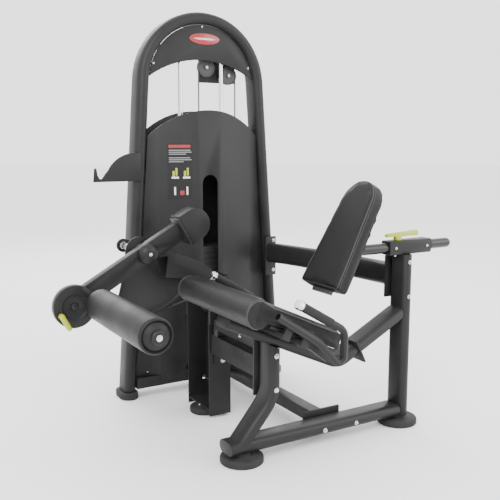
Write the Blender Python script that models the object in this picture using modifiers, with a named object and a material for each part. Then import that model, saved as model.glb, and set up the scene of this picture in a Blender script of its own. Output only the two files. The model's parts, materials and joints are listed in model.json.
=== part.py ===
"""Leg extension machine with a selectorised weight stack, modelled piece by piece.

Units are metres, +Z is up and the floor is z = 0. The user faces -X, and the weight
tower stands on the +Y side. The origin is under the front foot, on the seat's centre plane.
"""

import math

import bmesh
import bpy
from mathutils import Matrix, Vector

# Clearances
GAP = 0.0003
RUNNING = 0.001
SIDES = 24

# Flat-oval frame tube of the seat frame, and the rails between frame and tower
TUBE_W = 0.090
TUBE_T = 0.045
BASE_Z = 0.060
BASE_FRONT_X = -0.062
POST_X = 0.691
POST_TOP = 0.6567
UPRIGHT_X = 0.110
UPRIGHT_BEND_Z = 0.26
UPRIGHT_BEND_R = 0.13
UPRIGHT_BEND = math.radians(40)
FOOT_R = 0.075
FOOT_H = 0.024
CROSS_X = 0.365
CROSS_W = 0.050
FLANGE_T = 0.008

# Weight tower
TOWER_X = 0.255
TOWER_Y = 0.795
ROD_Y = 0.785
CABLE_Y = 0.805
ARCH_R = 0.268
ARCH_Z = 1.305
LEG_LEAN = math.radians(4)
LEG_T = 0.050
LEG_W = 0.100
LEG_BOTTOM = 0.030
TOWER_FOOT_T = 0.076
TOWER_FOOT_W = 0.126
BAR_W = 0.090
ROD_R = 0.010
ROD_HALF = 0.096
ROD_TOP = 1.430
HEADER_DROP = 0.075
HEADER_Y = 0.768
HEADER_BAR_H = 0.030
HEADER_BAR_HALF = 0.180
BRACKET_T = 0.006
SEAT_BAR_Z = 0.125
SEAT_BAR_H = 0.030
SEAT_BAR_HALF = 0.113
SHEET_T = 0.003

# Shrouds
SHROUD_BOTTOM = 0.060
SHROUD_TOP = 1.198
SHROUD_TOP_R = 0.3625
SHROUD_FRONT_Y = 0.705
SHROUD_FOLD_Y = 0.745
SHROUD_EDGE_Y = 0.768
SHROUD_FRONT_HALF = 0.057
SHROUD_FOLD_HALF = 0.215
REAR_SHROUD_Y = 0.852
SLOT_HALF = 0.0355
SLOT_BOTTOM = 0.150
SLOT_TOP = 0.931

# Weight stack
STACK_HALF = 0.145
STACK_DEPTH = 0.096
STACK_BOTTOM = 0.182
PLATE_T = 0.0255
RESTING_PLATES = 11
LIFTED_PLATES = 5
HEAD_T = 0.031
GROOVE = 0.002
STEM_R = 0.010
BUMPER_R = 0.024
STEM_RISE = 0.040
PIN_R = 0.005

# Cable and pulleys
CABLE_R = 0.003
TOP_PULLEY_R = 0.035
POST_PULLEY_R = 0.042
TURN_PULLEY_R = 0.030
RISER_PULLEY_R = 0.026
PULLEY_T = 0.014
PULLEY_BACK = 0.017
TOP_LEFT_PULLEY = (TOWER_X + TOP_PULLEY_R, 1.380)
TOP_RIGHT_PULLEY = (TOWER_X + 0.141, 1.350)
CABLE_BOTTOM_Z = 0.108

# Pulley post: a channel open towards the user's feet
CHANNEL_FRONT_X = 0.078
CHANNEL_BACK_X = 0.172
CHANNEL_NEAR_Y = 0.386
CHANNEL_FAR_Y = 0.574
CHANNEL_T = 0.004
CHANNEL_LOW = 0.010
CHANNEL_TOP = 0.560
CHANNEL_FOOT_R = 0.061
CHANNEL_FOOT_X = 0.106
SOLE_Z = 0.030
SOLE_T = 0.006
POST_CABLE_X = 0.150
POST_PULLEY_Z = 0.462

# Pivot housing: two curved side plates on the post's head, with a roof between them
HOUSING_T = 0.010
HOUSING_NECK = 0.026
HOUSING_LOW = 0.380
CROWN_X = -0.070
CROWN_SLOPE = math.radians(19)
CROWN_R = 0.260
CROWN_CORNER = 0.585

# Leg arm
PIVOT = Vector((-0.185, 0.680))
ARM_PITCH = math.radians(29.5)
ARM_Y = 0.355
ARM_T = 0.036
ARM_W = 0.065
ARM_FRONT = 0.380
ARM_REAR = 0.150
SHAFT_R = 0.0125
HUB_R = 0.037
CAM_R = 0.247
CAM_Y = 0.420
CAM_T = 0.014
CAM_START = -112
CAM_ANCHOR = -108
CAM_EDGE_X = -0.008
CAM_SHOULDER_Z = 0.600
ADJUSTER_REACH = 0.314
ADJUSTER_R = 0.0735
ADJUSTER_T = 0.024
LOCK = Vector((-0.508, 0.500))
LOCK_R = 0.0045
LOCK_STEPS = (-30, -15, 0, 15, 30)
LOCK_HANDLE_END = Vector((-0.486, 0.459))
LOCK_HANDLE_R = 0.009
ROLLER_OFFSET = Vector((0.070, 0.010))
ROLLER_R = 0.054
ROLLER_NEAR_Y = -0.205
ROLLER_FAR_Y = 0.262
ROLLER_SHAFT_R = 0.0125
WEIGHT_HALF = 0.0575
WEIGHT_T = 0.070

# Seat
SEAT_PITCH = math.radians(24.5)
ROLL = Vector((-0.077, 0.564))
ROLL_R = 0.047
SEAT_HALF = 0.240
SEAT_TOP = 0.041
SEAT_T = 0.055
SEAT_LENGTH = 0.338
PAN_T = 0.010
PAN_HALF = 0.228
BEAM_DROP = 0.0573
BEAM_START = 0.036
BEAM_END = 0.532
BEAM_BEND_R = 0.060
STRUT_PITCH = math.radians(26.7)
STRUT_JOINT = 0.085
CROSS_BARS = (0.105, 0.180)
CROSS_BAR_W = 0.030
TAB_T = 0.010
TAB_TOP = 0.012
CHEEK_Y = 0.215
CHEEK_T = 0.020
HANDLE_Y = 0.275
HANDLE_R = 0.0125
GRIP_R = 0.0145
GRIP_LENGTH = 0.150
HANDLE_TOP = Vector((0.034, 0.594))
HANDLE_END = Vector((-0.035, 0.564))
HANDLE_CORNERS = [Vector((0.212, 0.489)), Vector((0.212, 0.357)), Vector((0.115, 0.464))]
HANDLE_BENDS = [0.035, 0.020, 0.120]
GRIP_CAP_T = 0.018

# Backrest
BACK_FOOT = Vector((0.307, 0.580))
BACK_LEAN = math.radians(29.4)
BACK_LOW = -0.006
BACK_TOP = 0.411
BACK_LOW_HALF = 0.113
BACK_CROWN_R = 0.088
BACK_CORNER_R = 0.016
BACK_T = 0.050
MOUNT_LOW = 0.010
MOUNT_HIGH = 0.250
MOUNT_W = 0.110
BOSS_R = 0.0235
SLIDE_START_X = 0.4803
SLIDE_Z = 0.683
SLIDE_R = 0.019
SLIDE_END_X = 0.927
SLEEVE_W = 0.052
SLEEVE_X0 = 0.612
SLEEVE_X1 = 0.815
LEVER_X = 0.668
LINK_Z = 0.572
LINK_START = Vector((0.574, 0.7387))
LINK_BEND = Vector((0.668, 0.460))
LINK_END_X = 0.686
LEG_PLATE_X = 0.576

# Short links between seat frame and pulley post
LOW_LINK_Z = 0.3025
LOW_LINK_W = 0.050
LOW_LINK_H = 0.075
HIGH_LINK_Z = 0.384
HIGH_LINK_W = 0.048
HIGH_LINK_H = 0.036
LINK_PLATE_W = 0.070
FRAME_PLATE_H = 0.198
POST_PLATE_H = 0.150


def clear_scene():
    for old in list(bpy.data.objects):
        bpy.data.objects.remove(old, do_unlink=True)


clear_scene()
parts = bpy.data.collections.new("leg_extension_machine")
cutters = bpy.data.collections.new("cutters")
bpy.context.scene.collection.children.link(parts)
bpy.context.scene.collection.children.link(cutters)


def make_material(name, colour, metallic, roughness):
    made = bpy.data.materials.new(name)
    made.use_nodes = True
    shader = made.node_tree.nodes["Principled BSDF"]
    shader.inputs["Base Color"].default_value = (*colour, 1)
    shader.inputs["Metallic"].default_value = metallic
    shader.inputs["Roughness"].default_value = roughness
    return made


PAINT = make_material("charcoal_paint", (0.045, 0.046, 0.048), 0.4, 0.42)
BLACK = make_material("black_paint", (0.012, 0.012, 0.013), 0.3, 0.45)
VINYL = make_material("black_vinyl", (0.02, 0.02, 0.021), 0.0, 0.5)
RUBBER = make_material("black_rubber", (0.01, 0.01, 0.01), 0.0, 0.8)
CHROME = make_material("chrome", (0.8, 0.8, 0.8), 1.0, 0.12)
STEEL = make_material("steel", (0.55, 0.56, 0.57), 1.0, 0.3)
LIME = make_material("lime_plastic", (0.62, 0.7, 0.02), 0.0, 0.4)
NYLON = make_material("black_nylon", (0.015, 0.015, 0.016), 0.0, 0.5)


# Modelling helpers

def place(name, data, material, collection=parts):
    """A new object holding this data, in its collection."""
    obj = bpy.data.objects.new(name, data)
    data.materials.append(material)
    collection.objects.link(obj)
    if collection is cutters:
        obj.hide_render = True
        obj.display_type = "WIRE"
    return obj


def to_mesh(obj):
    """The curve made a mesh with its caps welded, so that it can be cut or joined."""
    bpy.context.view_layer.update()
    graph = bpy.context.evaluated_depsgraph_get()
    mesh = bpy.data.meshes.new_from_object(obj.evaluated_get(graph))
    name, matrix, home = obj.name, obj.matrix_world.copy(), obj.users_collection[0]
    bpy.data.objects.remove(obj, do_unlink=True)
    work = bmesh.new()
    work.from_mesh(mesh)
    bmesh.ops.remove_doubles(work, verts=work.verts, dist=1e-5)
    bmesh.ops.recalc_face_normals(work, faces=work.faces)
    work.to_mesh(mesh)
    work.free()
    mesh.materials.clear()
    made = place(name, mesh, PAINT, home)
    made.matrix_world = matrix
    return made


def paint(obj, material):
    obj.data.materials.clear()
    obj.data.materials.append(material)
    return obj


def boolean(obj, other, operation):
    modifier = obj.modifiers.new(operation.lower(), "BOOLEAN")
    modifier.operation = operation
    modifier.object = other
    modifier.solver = "EXACT"
    return obj


def cut(obj, *others):
    for other in others:
        boolean(obj, other, "DIFFERENCE")
    return obj


def join(obj, *others):
    for other in others:
        boolean(obj, other, "UNION")
    return obj


def box(name, centre, size, material, collection=parts, bevel=0.0, turn=None):
    """A box whose mesh has its real size, turned by a matrix and then placed."""
    mesh = bpy.data.meshes.new(name)
    work = bmesh.new()
    bmesh.ops.create_cube(work, size=1, matrix=Matrix.Diagonal((*size, 1)))
    work.to_mesh(mesh)
    work.free()
    obj = place(name, mesh, material, collection)
    obj.matrix_world = Matrix.Translation(centre) @ (turn or Matrix())
    if bevel:
        round_edges(obj, bevel)
    return obj


def round_edges(obj, width, segments=2):
    modifier = obj.modifiers.new("rounded", "BEVEL")
    modifier.width = width
    modifier.segments = segments
    modifier.limit_method = "ANGLE"
    modifier.angle_limit = math.radians(40)


def rod(name, start, end, radius, material, collection=parts, sides=SIDES):
    """A round bar from start to end."""
    start, end = Vector(start), Vector(end)
    mesh = bpy.data.meshes.new(name)
    work = bmesh.new()
    bmesh.ops.create_cone(
        work, cap_ends=True, segments=sides, radius1=radius, radius2=radius,
        depth=(end - start).length,
    )
    work.to_mesh(mesh)
    work.free()
    smooth(mesh)
    obj = place(name, mesh, material, collection)
    turn = (end - start).to_track_quat("Z", "Y").to_matrix().to_4x4()
    obj.matrix_world = Matrix.Translation((start + end) / 2) @ turn
    return obj


def smooth(mesh):
    mesh.shade_smooth()
    mesh.set_sharp_from_angle(angle=math.radians(40))


AXIS_TURN = {
    "Z": Matrix(),
    "-Y": Matrix.Rotation(math.radians(90), 4, "X"),
    "X": Matrix.Rotation(math.radians(90), 4, "Y"),
}


def turned(name, profile, centre, axis, material, collection=parts, sides=SIDES):
    """A turned piece: profile is (radius, height) from the top down its outer side."""
    mesh = bpy.data.meshes.new(name)
    work = bmesh.new()
    points = [work.verts.new((radius, 0, height)) for radius, height in profile]
    for one, two in zip(points, points[1:]):
        work.edges.new((one, two))
    if profile[0][0] > 0 and profile[0] != profile[-1]:
        work.edges.new((points[-1], points[0]))
    work.to_mesh(mesh)
    work.free()
    obj = place(name, mesh, material, collection)
    obj.matrix_world = Matrix.Translation(centre) @ AXIS_TURN[axis]
    spin = obj.modifiers.new("turned", "SCREW")
    spin.steps = sides
    spin.render_steps = sides
    spin.use_merge_vertices = True
    spin.merge_threshold = 0.00005
    spin.use_smooth_shade = True
    return obj


def arc(centre, radius, start, end, steps):
    """Points along an arc in a plane, its angles in degrees."""
    found = []
    for step in range(steps + 1):
        angle = math.radians(start + (end - start) * step / steps)
        found.append(Vector(centre) + radius * Vector((math.cos(angle), math.sin(angle))))
    return found


def rounded_path(corners, radii, steps=6):
    """A plane path through the corners, each inner corner rounded to its radius."""
    corners = [Vector(corner) for corner in corners]
    path = [corners[0]]
    for before, corner, after, radius in zip(corners, corners[1:], corners[2:], radii):
        into, out = (before - corner).normalized(), (after - corner).normalized()
        half = into.angle(out) / 2
        middle = corner + (into + out).normalized() * radius / math.sin(half)
        first = corner + into * radius / math.tan(half) - middle
        last = corner + out * radius / math.tan(half) - middle
        swing = first.angle_signed(last)
        for step in range(steps + 1):
            turn = Matrix.Rotation(-swing * step / steps, 2)
            path.append(middle + turn @ first)
    path.append(corners[-1])
    return path


def curve_of(name, points, cyclic, dimensions):
    data = bpy.data.curves.new(name, "CURVE")
    data.dimensions = dimensions
    spline = data.splines.new("POLY")
    spline.points.add(len(points) - 1)
    for point, target in zip(points, spline.points):
        target.co = (*point, *([0] * (3 - len(point))), 1)
    spline.use_cyclic_u = cyclic
    return data


def upright_plane(y):
    """Puts a curve's own plane on the upright plane through this y."""
    return Matrix.Translation((0, y, 0)) @ AXIS_TURN["-Y"]


def level_plane(z):
    return Matrix.Translation((0, 0, z))


def back_plane(behind):
    """Puts a curve's own x on world Y and its own y up the backrest's face."""
    place_at = in_space(back_point(0, behind), 0)
    up = Vector((math.sin(BACK_LEAN), 0, math.cos(BACK_LEAN)))
    across = Vector((0, 1, 0))
    axes = Matrix((across, up, across.cross(up))).transposed()
    return Matrix.Translation(place_at) @ axes.to_4x4()


def side_plane(x):
    """Puts a curve's own x on world Y and its own y on world Z."""
    return Matrix(((0, 0, 1, x), (1, 0, 0, 0), (0, 1, 0, 0), (0, 0, 0, 1)))


def plate(name, outline, thickness, where, material, collection=parts, bevel=0.0):
    """A flat outline given its thickness, as a mesh."""
    data = curve_of(name, outline, True, "2D")
    data.fill_mode = "BOTH"
    data.extrude = thickness / 2
    obj = place(name, data, material, collection)
    obj.matrix_world = where
    obj = paint(to_mesh(obj), material)
    if bevel:
        round_edges(obj, bevel)
    return obj


def flat_oval(name, across, through, where, material, collection=parts, path=()):
    """A flat-oval tube along a plane path: across in its plane, through square to it."""
    half = (max(across, through) - min(across, through)) / 2
    radius = min(across, through) / 2
    shift = Vector((0, half)) if through > across else Vector((half, 0))
    first = 0 if through > across else -90
    section = arc(shift, radius, first, first + 180, 6)
    section += arc(-shift, radius, first + 180, first + 360, 6)
    guide = place(name + "_section", curve_of(name + "_section", section, True, "2D"), material, cutters)
    data = curve_of(name, path, False, "2D")
    data.bevel_mode = "OBJECT"
    data.bevel_object = guide
    data.use_fill_caps = True
    obj = place(name, data, material, collection)
    obj.matrix_world = where
    obj = paint(to_mesh(obj), material)
    bpy.data.objects.remove(guide, do_unlink=True)
    smooth(obj.data)
    return obj


def round_tube(name, points, radius, where, material, resolution=2, collection=parts):
    data = curve_of(name, points, False, "3D")
    data.bevel_depth = radius
    data.bevel_resolution = resolution
    data.use_fill_caps = True
    obj = place(name, data, material, collection)
    obj.matrix_world = where
    return obj


def axis_at(name, position):
    """An empty on a joint's axis, for the pieces that move about it."""
    empty = bpy.data.objects.new(name, None)
    empty.empty_display_size = 0.05
    empty.location = position
    parts.objects.link(empty)
    return empty


def carry(empty, *pieces, parent=None):
    """Parents the pieces to the empty, where they are."""
    inverse = Matrix.Translation(empty.location).inverted()
    if parent:
        empty.parent = parent
        empty.matrix_parent_inverse = Matrix.Translation(parent.location).inverted()
    for piece in pieces:
        world = piece.matrix_world.copy()
        piece.parent = empty
        piece.matrix_parent_inverse = inverse
        piece.matrix_basis = world


# Shared positions

def seat_point(along, above):
    """A point of the seat's side view: along it from the roll's centre, and above that."""
    lean = Matrix.Rotation(-SEAT_PITCH, 2)
    return ROLL + lean @ Vector((along, above))


def back_point(up, behind):
    """A point of the backrest's side view: up its front face, and behind that."""
    lean = Matrix.Rotation(-BACK_LEAN, 2)
    return BACK_FOOT + lean @ Vector((behind, up))


def arm_point(along, above=0.0):
    """A point of the leg arm's side view: from the pivot towards its rear end."""
    return PIVOT + Matrix.Rotation(ARM_PITCH, 2) @ Vector((along, above))


def leg_half(z):
    """Half the distance between the tower legs' centre lines at this height."""
    return (ARCH_R - (z - ARCH_Z) * math.sin(LEG_LEAN)) / math.cos(LEG_LEAN)


def inner_half(z, clearance):
    """Half the width between the tower legs' inner faces, less a clearance."""
    return leg_half(z) - LEG_T / 2 / math.cos(LEG_LEAN) - clearance


def in_space(point, y):
    return Vector((point[0], y, point[1]))


TUBE_TOP = BASE_Z + TUBE_T / 2
SEAT_BAR_TOP = SEAT_BAR_Z + SEAT_BAR_H
CAM_CABLE_R = CAM_R - CABLE_R - 0.001
PLATE_BACK_Y = TUBE_W / 2 + GAP + FLANGE_T / 2


# Base and seat frame

def foot_disc(name, x, y, radius, top):
    stem = 0.4 * radius
    profile = [(0, top), (stem, top), (stem, FOOT_H), (radius - 0.006, FOOT_H),
               (radius, FOOT_H - 0.006), (radius, 0), (0, 0)]
    return turned(name, profile, (x, y, 0), "Z", RUBBER, sides=32)


def base_frame():
    rear = POST_X - TUBE_T / 2 - GAP
    tube = flat_oval("base_tube", TUBE_T, TUBE_W, upright_plane(0), PAINT,
                     path=[(BASE_FRONT_X, BASE_Z), (rear, BASE_Z)])
    join(tube, front_upright())
    under = BASE_Z - TUBE_T / 2
    flat_oval("rear_post", TUBE_T, TUBE_W, upright_plane(0), PAINT,
              path=[(POST_X, under), (POST_X, POST_TOP)])
    foot_disc("front_foot", 0, 0, FOOT_R, under - GAP)
    foot_disc("rear_foot", POST_X, 0, FOOT_R, under - GAP)


def front_upright():
    """The bent upright that is welded to the base tube and carries the seat beam."""
    corner_z = UPRIGHT_BEND_Z - UPRIGHT_BEND_R * math.tan(UPRIGHT_BEND / 2)
    run = (corner_z - BASE_Z) * math.tan(UPRIGHT_BEND)
    path = rounded_path([(UPRIGHT_X, 0.45), (UPRIGHT_X, corner_z), (UPRIGHT_X - run, BASE_Z)],
                        [UPRIGHT_BEND_R])
    upright = flat_oval("front_upright", TUBE_T, TUBE_W, upright_plane(0), PAINT, cutters, path=path)
    depth = 0.2
    under_beam = seat_point(0.25, -BEAM_DROP - TUBE_T / 2 - GAP + depth / 2)
    head = box("upright_head_cut", in_space(under_beam, 0), (0.4, 0.2, depth), PAINT, cutters,
               turn=Matrix.Rotation(SEAT_PITCH, 4, "Y"))
    return cut(upright, head)


def cross_tube():
    near, far = TUBE_W / 2 + GAP, TOWER_Y - BAR_W / 2 - GAP
    start = near + FLANGE_T / 2
    tube = box("base_cross_tube", (CROSS_X, (start + far) / 2, BASE_Z), (CROSS_W, far - start, TUBE_T), PAINT)
    flange = box("cross_flange", (CROSS_X, PLATE_BACK_Y, BASE_Z + 0.008), (0.160, FLANGE_T, 0.062), PAINT,
                 cutters)
    join(tube, flange)


def seat_frame():
    """The beam under the seat with its cross bars, and the strut from it to the rear post."""
    vertex = seat_point(BEAM_END, -BEAM_DROP)
    rise = Vector((math.cos(STRUT_PITCH), math.sin(STRUT_PITCH)))
    meet = vertex + rise * STRUT_JOINT
    path = rounded_path([seat_point(BEAM_START, -BEAM_DROP), vertex, meet - rise * GAP], [BEAM_BEND_R])
    beam = flat_oval("seat_beam", TUBE_T, TUBE_W, upright_plane(0), PAINT, path=path)
    tilt = Matrix.Rotation(SEAT_PITCH, 4, "Y")
    top, bottom = SEAT_TOP - SEAT_T - GAP - PAN_T - GAP, -BEAM_DROP + TUBE_T / 2 - 0.006
    reach = HANDLE_Y - HANDLE_R - GAP
    for number, along in enumerate(CROSS_BARS):
        middle = seat_point(along, (top + bottom) / 2)
        bar = box(f"cross_bar_{number}", in_space(middle, 0), (CROSS_BAR_W, 2 * reach - 0.004, top - bottom),
                  PAINT, cutters, turn=tilt)
        for side in (-1, 1):
            tab = box(f"cross_bar_tab_{number}_{side}",
                      in_space(seat_point(along, (TAB_TOP + bottom) / 2), side * (reach - TAB_T / 2)),
                      (CROSS_BAR_W - 0.002, TAB_T, TAB_TOP - bottom + 0.002), PAINT, cutters, turn=tilt)
            join(beam, tab)
        join(beam, bar)
    end = Vector((POST_X, meet.y + (POST_X - meet.x) * math.tan(STRUT_PITCH)))
    strut = flat_oval("seat_strut", TUBE_T, TUBE_W, upright_plane(0), PAINT,
                      path=[meet + rise * FLANGE_T / 2, end])
    flange_middle = meet + rise * FLANGE_T / 2 - Vector((-rise.y, rise.x)) * 0.010
    flange = box("strut_flange", in_space(flange_middle, 0), (FLANGE_T, 0.100, 0.088), PAINT, cutters,
                 turn=Matrix.Rotation(-STRUT_PITCH, 4, "Y"))
    post_side = box("strut_end_cut", (POST_X - TUBE_T / 2 - GAP + 0.1, 0, end.y), (0.2, 0.2, 0.4), PAINT,
                    cutters)
    cut(join(strut, flange), post_side)


# Weight tower

def tower_frame():
    foot = Vector((leg_half(LEG_BOTTOM), LEG_BOTTOM))
    lean = math.degrees(LEG_LEAN)
    path = [(TOWER_X - foot.x, foot.y), *arc((TOWER_X, ARCH_Z), ARCH_R, 180 - lean, lean, 30),
            (TOWER_X + foot.x, foot.y)]
    flat_oval("tower_arch", LEG_T, LEG_W, upright_plane(TOWER_Y), PAINT, path=path)
    height = LEG_BOTTOM - 0.003
    half = Vector((TOWER_FOOT_W - TOWER_FOOT_T, 0)) / 2
    for name, side in (("tower_foot_left", -1), ("tower_foot_right", 1)):
        oval = arc((0, half.x), TOWER_FOOT_T / 2, 0, 180, 8) + arc((0, -half.x), TOWER_FOOT_T / 2, 180, 360,
                                                                   8)
        centre = TOWER_X + side * leg_half(height / 2)
        plate(name, oval, height, Matrix.Translation((centre, TOWER_Y, height / 2)), RUBBER, bevel=0.004)
    reach = inner_half(TUBE_TOP, GAP)
    bar = box("tower_bottom_bar", (TOWER_X, TOWER_Y, BASE_Z), (2 * reach, BAR_W, TUBE_T), PAINT)
    riser = riser_centre()
    mast_y = CABLE_Y + PULLEY_BACK
    seat_front, seat_back = TOWER_Y - 0.022, mast_y + BRACKET_T - 0.001
    mast = box("riser_mast", (riser.x, mast_y + BRACKET_T / 2, (TUBE_TOP + riser.y) / 2),
               (0.034, BRACKET_T, riser.y - TUBE_TOP + 0.050), PAINT, cutters)
    seat = box("stack_seat", (TOWER_X, (seat_front + seat_back) / 2, SEAT_BAR_Z + SEAT_BAR_H / 2),
               (2 * SEAT_BAR_HALF, seat_back - seat_front, SEAT_BAR_H), PAINT, cutters)
    web_low, web_high = TUBE_TOP - 0.01, SEAT_BAR_Z + 0.01
    web = box("stack_seat_web", (TOWER_X, mast_y + BRACKET_T / 2, (web_low + web_high) / 2),
              (2 * SEAT_BAR_HALF - 0.006, BRACKET_T, web_high - web_low), PAINT, cutters)
    join(bar, web, seat, mast)


def header():
    inner = ARCH_R - LEG_T / 2 - 0.001
    tip = 6
    tip_x, tip_z = inner * math.cos(math.radians(tip)), ARCH_Z + inner * math.sin(math.radians(tip))
    lower_r = (tip_x ** 2 + HEADER_DROP ** 2) / (2 * HEADER_DROP)
    lower_z = tip_z + HEADER_DROP - lower_r
    sweep = math.degrees(math.asin(tip_x / lower_r))
    outline = arc((TOWER_X, ARCH_Z), inner, tip, 180 - tip, 28)
    outline += arc((TOWER_X, lower_z), lower_r, 90 + sweep, 90 - sweep, 16)[1:-1]
    plate("header_cover", outline, SHEET_T, upright_plane(HEADER_Y), PAINT)
    mount_y = CABLE_Y + PULLEY_BACK
    front, back = TOWER_Y - 0.022, mount_y + BRACKET_T - 0.001
    bar = box("header_crossbar", (TOWER_X, (front + back) / 2, ROD_TOP + GAP + HEADER_BAR_H / 2),
              (2 * HEADER_BAR_HALF, back - front, HEADER_BAR_H), PAINT)
    left, right = TOP_LEFT_PULLEY[0] - 0.025, TOP_RIGHT_PULLEY[0] + 0.044
    low = TOP_RIGHT_PULLEY[1] - 0.032
    bracket = box("pulley_bracket", ((left + right) / 2, mount_y + BRACKET_T / 2, (low + ROD_TOP + 0.02) / 2),
                  (right - left, BRACKET_T, ROD_TOP + 0.02 - low), PAINT, cutters)
    join(bar, bracket)


def guide_rods():
    for name, side in (("guide_rod_left", -1), ("guide_rod_right", 1)):
        x = TOWER_X + side * ROD_HALF
        rod(name, (x, ROD_Y, SEAT_BAR_TOP + GAP), (x, ROD_Y, ROD_TOP), ROD_R, CHROME)
        top, inner = STACK_BOTTOM - GAP, ROD_R + GAP
        ring = [(BUMPER_R, top), (BUMPER_R, SEAT_BAR_TOP + GAP), (inner, SEAT_BAR_TOP + GAP), (inner, top)]
        turned(name.replace("guide_rod", "bumper"), ring, (x, ROD_Y, 0), "Z", RUBBER)


def shroud_outline(bottom, clearance):
    """The front view of the sheet between the tower legs, arched at the top."""
    reach = inner_half(1.10, clearance)
    lift = SHROUD_TOP_R - math.sqrt(SHROUD_TOP_R ** 2 - reach ** 2)
    sweep = math.degrees(math.asin(reach / SHROUD_TOP_R))
    low = inner_half(bottom, clearance)
    points = [(TOWER_X - low, bottom), (TOWER_X + low, bottom)]
    shoulder = SHROUD_TOP - lift
    reach_there = inner_half(shoulder, clearance)
    points.append((TOWER_X + reach_there, shoulder - 0.02))
    points += arc((TOWER_X, SHROUD_TOP - SHROUD_TOP_R), SHROUD_TOP_R, 90 - sweep, 90 + sweep, 20)
    points.append((TOWER_X - reach_there, shoulder - 0.02))
    return points


def shrouds():
    section = [(-0.36, SHROUD_EDGE_Y), (-0.275, SHROUD_EDGE_Y), (-SHROUD_FOLD_HALF, SHROUD_FOLD_Y),
               (-SHROUD_FRONT_HALF, SHROUD_FRONT_Y)]
    section += [(-x, y) for x, y in reversed(section)]
    mesh = bpy.data.meshes.new("front_shroud")
    work = bmesh.new()
    rows = [[work.verts.new((TOWER_X + x, y, z)) for x, y in section] for z in (0.0, 1.3)]
    for column in range(len(section) - 1):
        low, high = rows
        work.faces.new((low[column], low[column + 1], high[column + 1], high[column]))
    work.to_mesh(mesh)
    work.free()
    front = place("front_shroud", mesh, PAINT)
    thick = front.modifiers.new("sheet", "SOLIDIFY")
    thick.thickness = SHEET_T
    thick.offset = -1
    thick.use_even_offset = True
    keep = plate("shroud_outline", shroud_outline(SHROUD_BOTTOM, 0.002), 0.3, upright_plane(TOWER_Y - 0.06),
                 PAINT, cutters)
    boolean(front, keep, "INTERSECT")
    top = SLOT_TOP - SLOT_HALF
    slot = [(TOWER_X - SLOT_HALF, SLOT_BOTTOM), (TOWER_X + SLOT_HALF, SLOT_BOTTOM)]
    slot += arc((TOWER_X, top), SLOT_HALF, 0, 180, 10)
    cut(front, plate("slot_cut", slot, 0.2, upright_plane(SHROUD_FRONT_Y), PAINT, cutters))
    cut(front, rod("shroud_cable_cut", (POST_CABLE_X, 0.68, CABLE_BOTTOM_Z),
                   (POST_CABLE_X, 0.76, CABLE_BOTTOM_Z),
                   0.010, PAINT, cutters, sides=12))
    cut(front, box("bottom_bar_notch", (TOWER_X, TOWER_Y, BASE_Z), (1, BAR_W + 0.004, TUBE_T + 0.004),
                   PAINT, cutters))
    notch_top = TUBE_TOP + 0.003
    cut(front, box("cross_tube_notch", (CROSS_X, 0.73, notch_top - 0.05), (CROSS_W + 0.006, 0.1, 0.1),
                   PAINT, cutters))
    plate("rear_shroud", shroud_outline(SHROUD_BOTTOM, 0.002), SHEET_T, upright_plane(REAR_SHROUD_Y), PAINT)


def comb(low, count):
    """The side view of a pile of plates, with a groove between each and the next."""
    half = STACK_DEPTH / 2
    side = [(half, low)]
    for number in range(1, count):
        seam = low + number * PLATE_T
        side += [(half, seam - GROOVE / 2), (half - GROOVE, seam), (half, seam + GROOVE / 2)]
    side.append((half, low + count * PLATE_T))
    return [(TOWER_Y + y, z) for y, z in side] + [(TOWER_Y - y, z) for y, z in reversed(side)]


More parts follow.
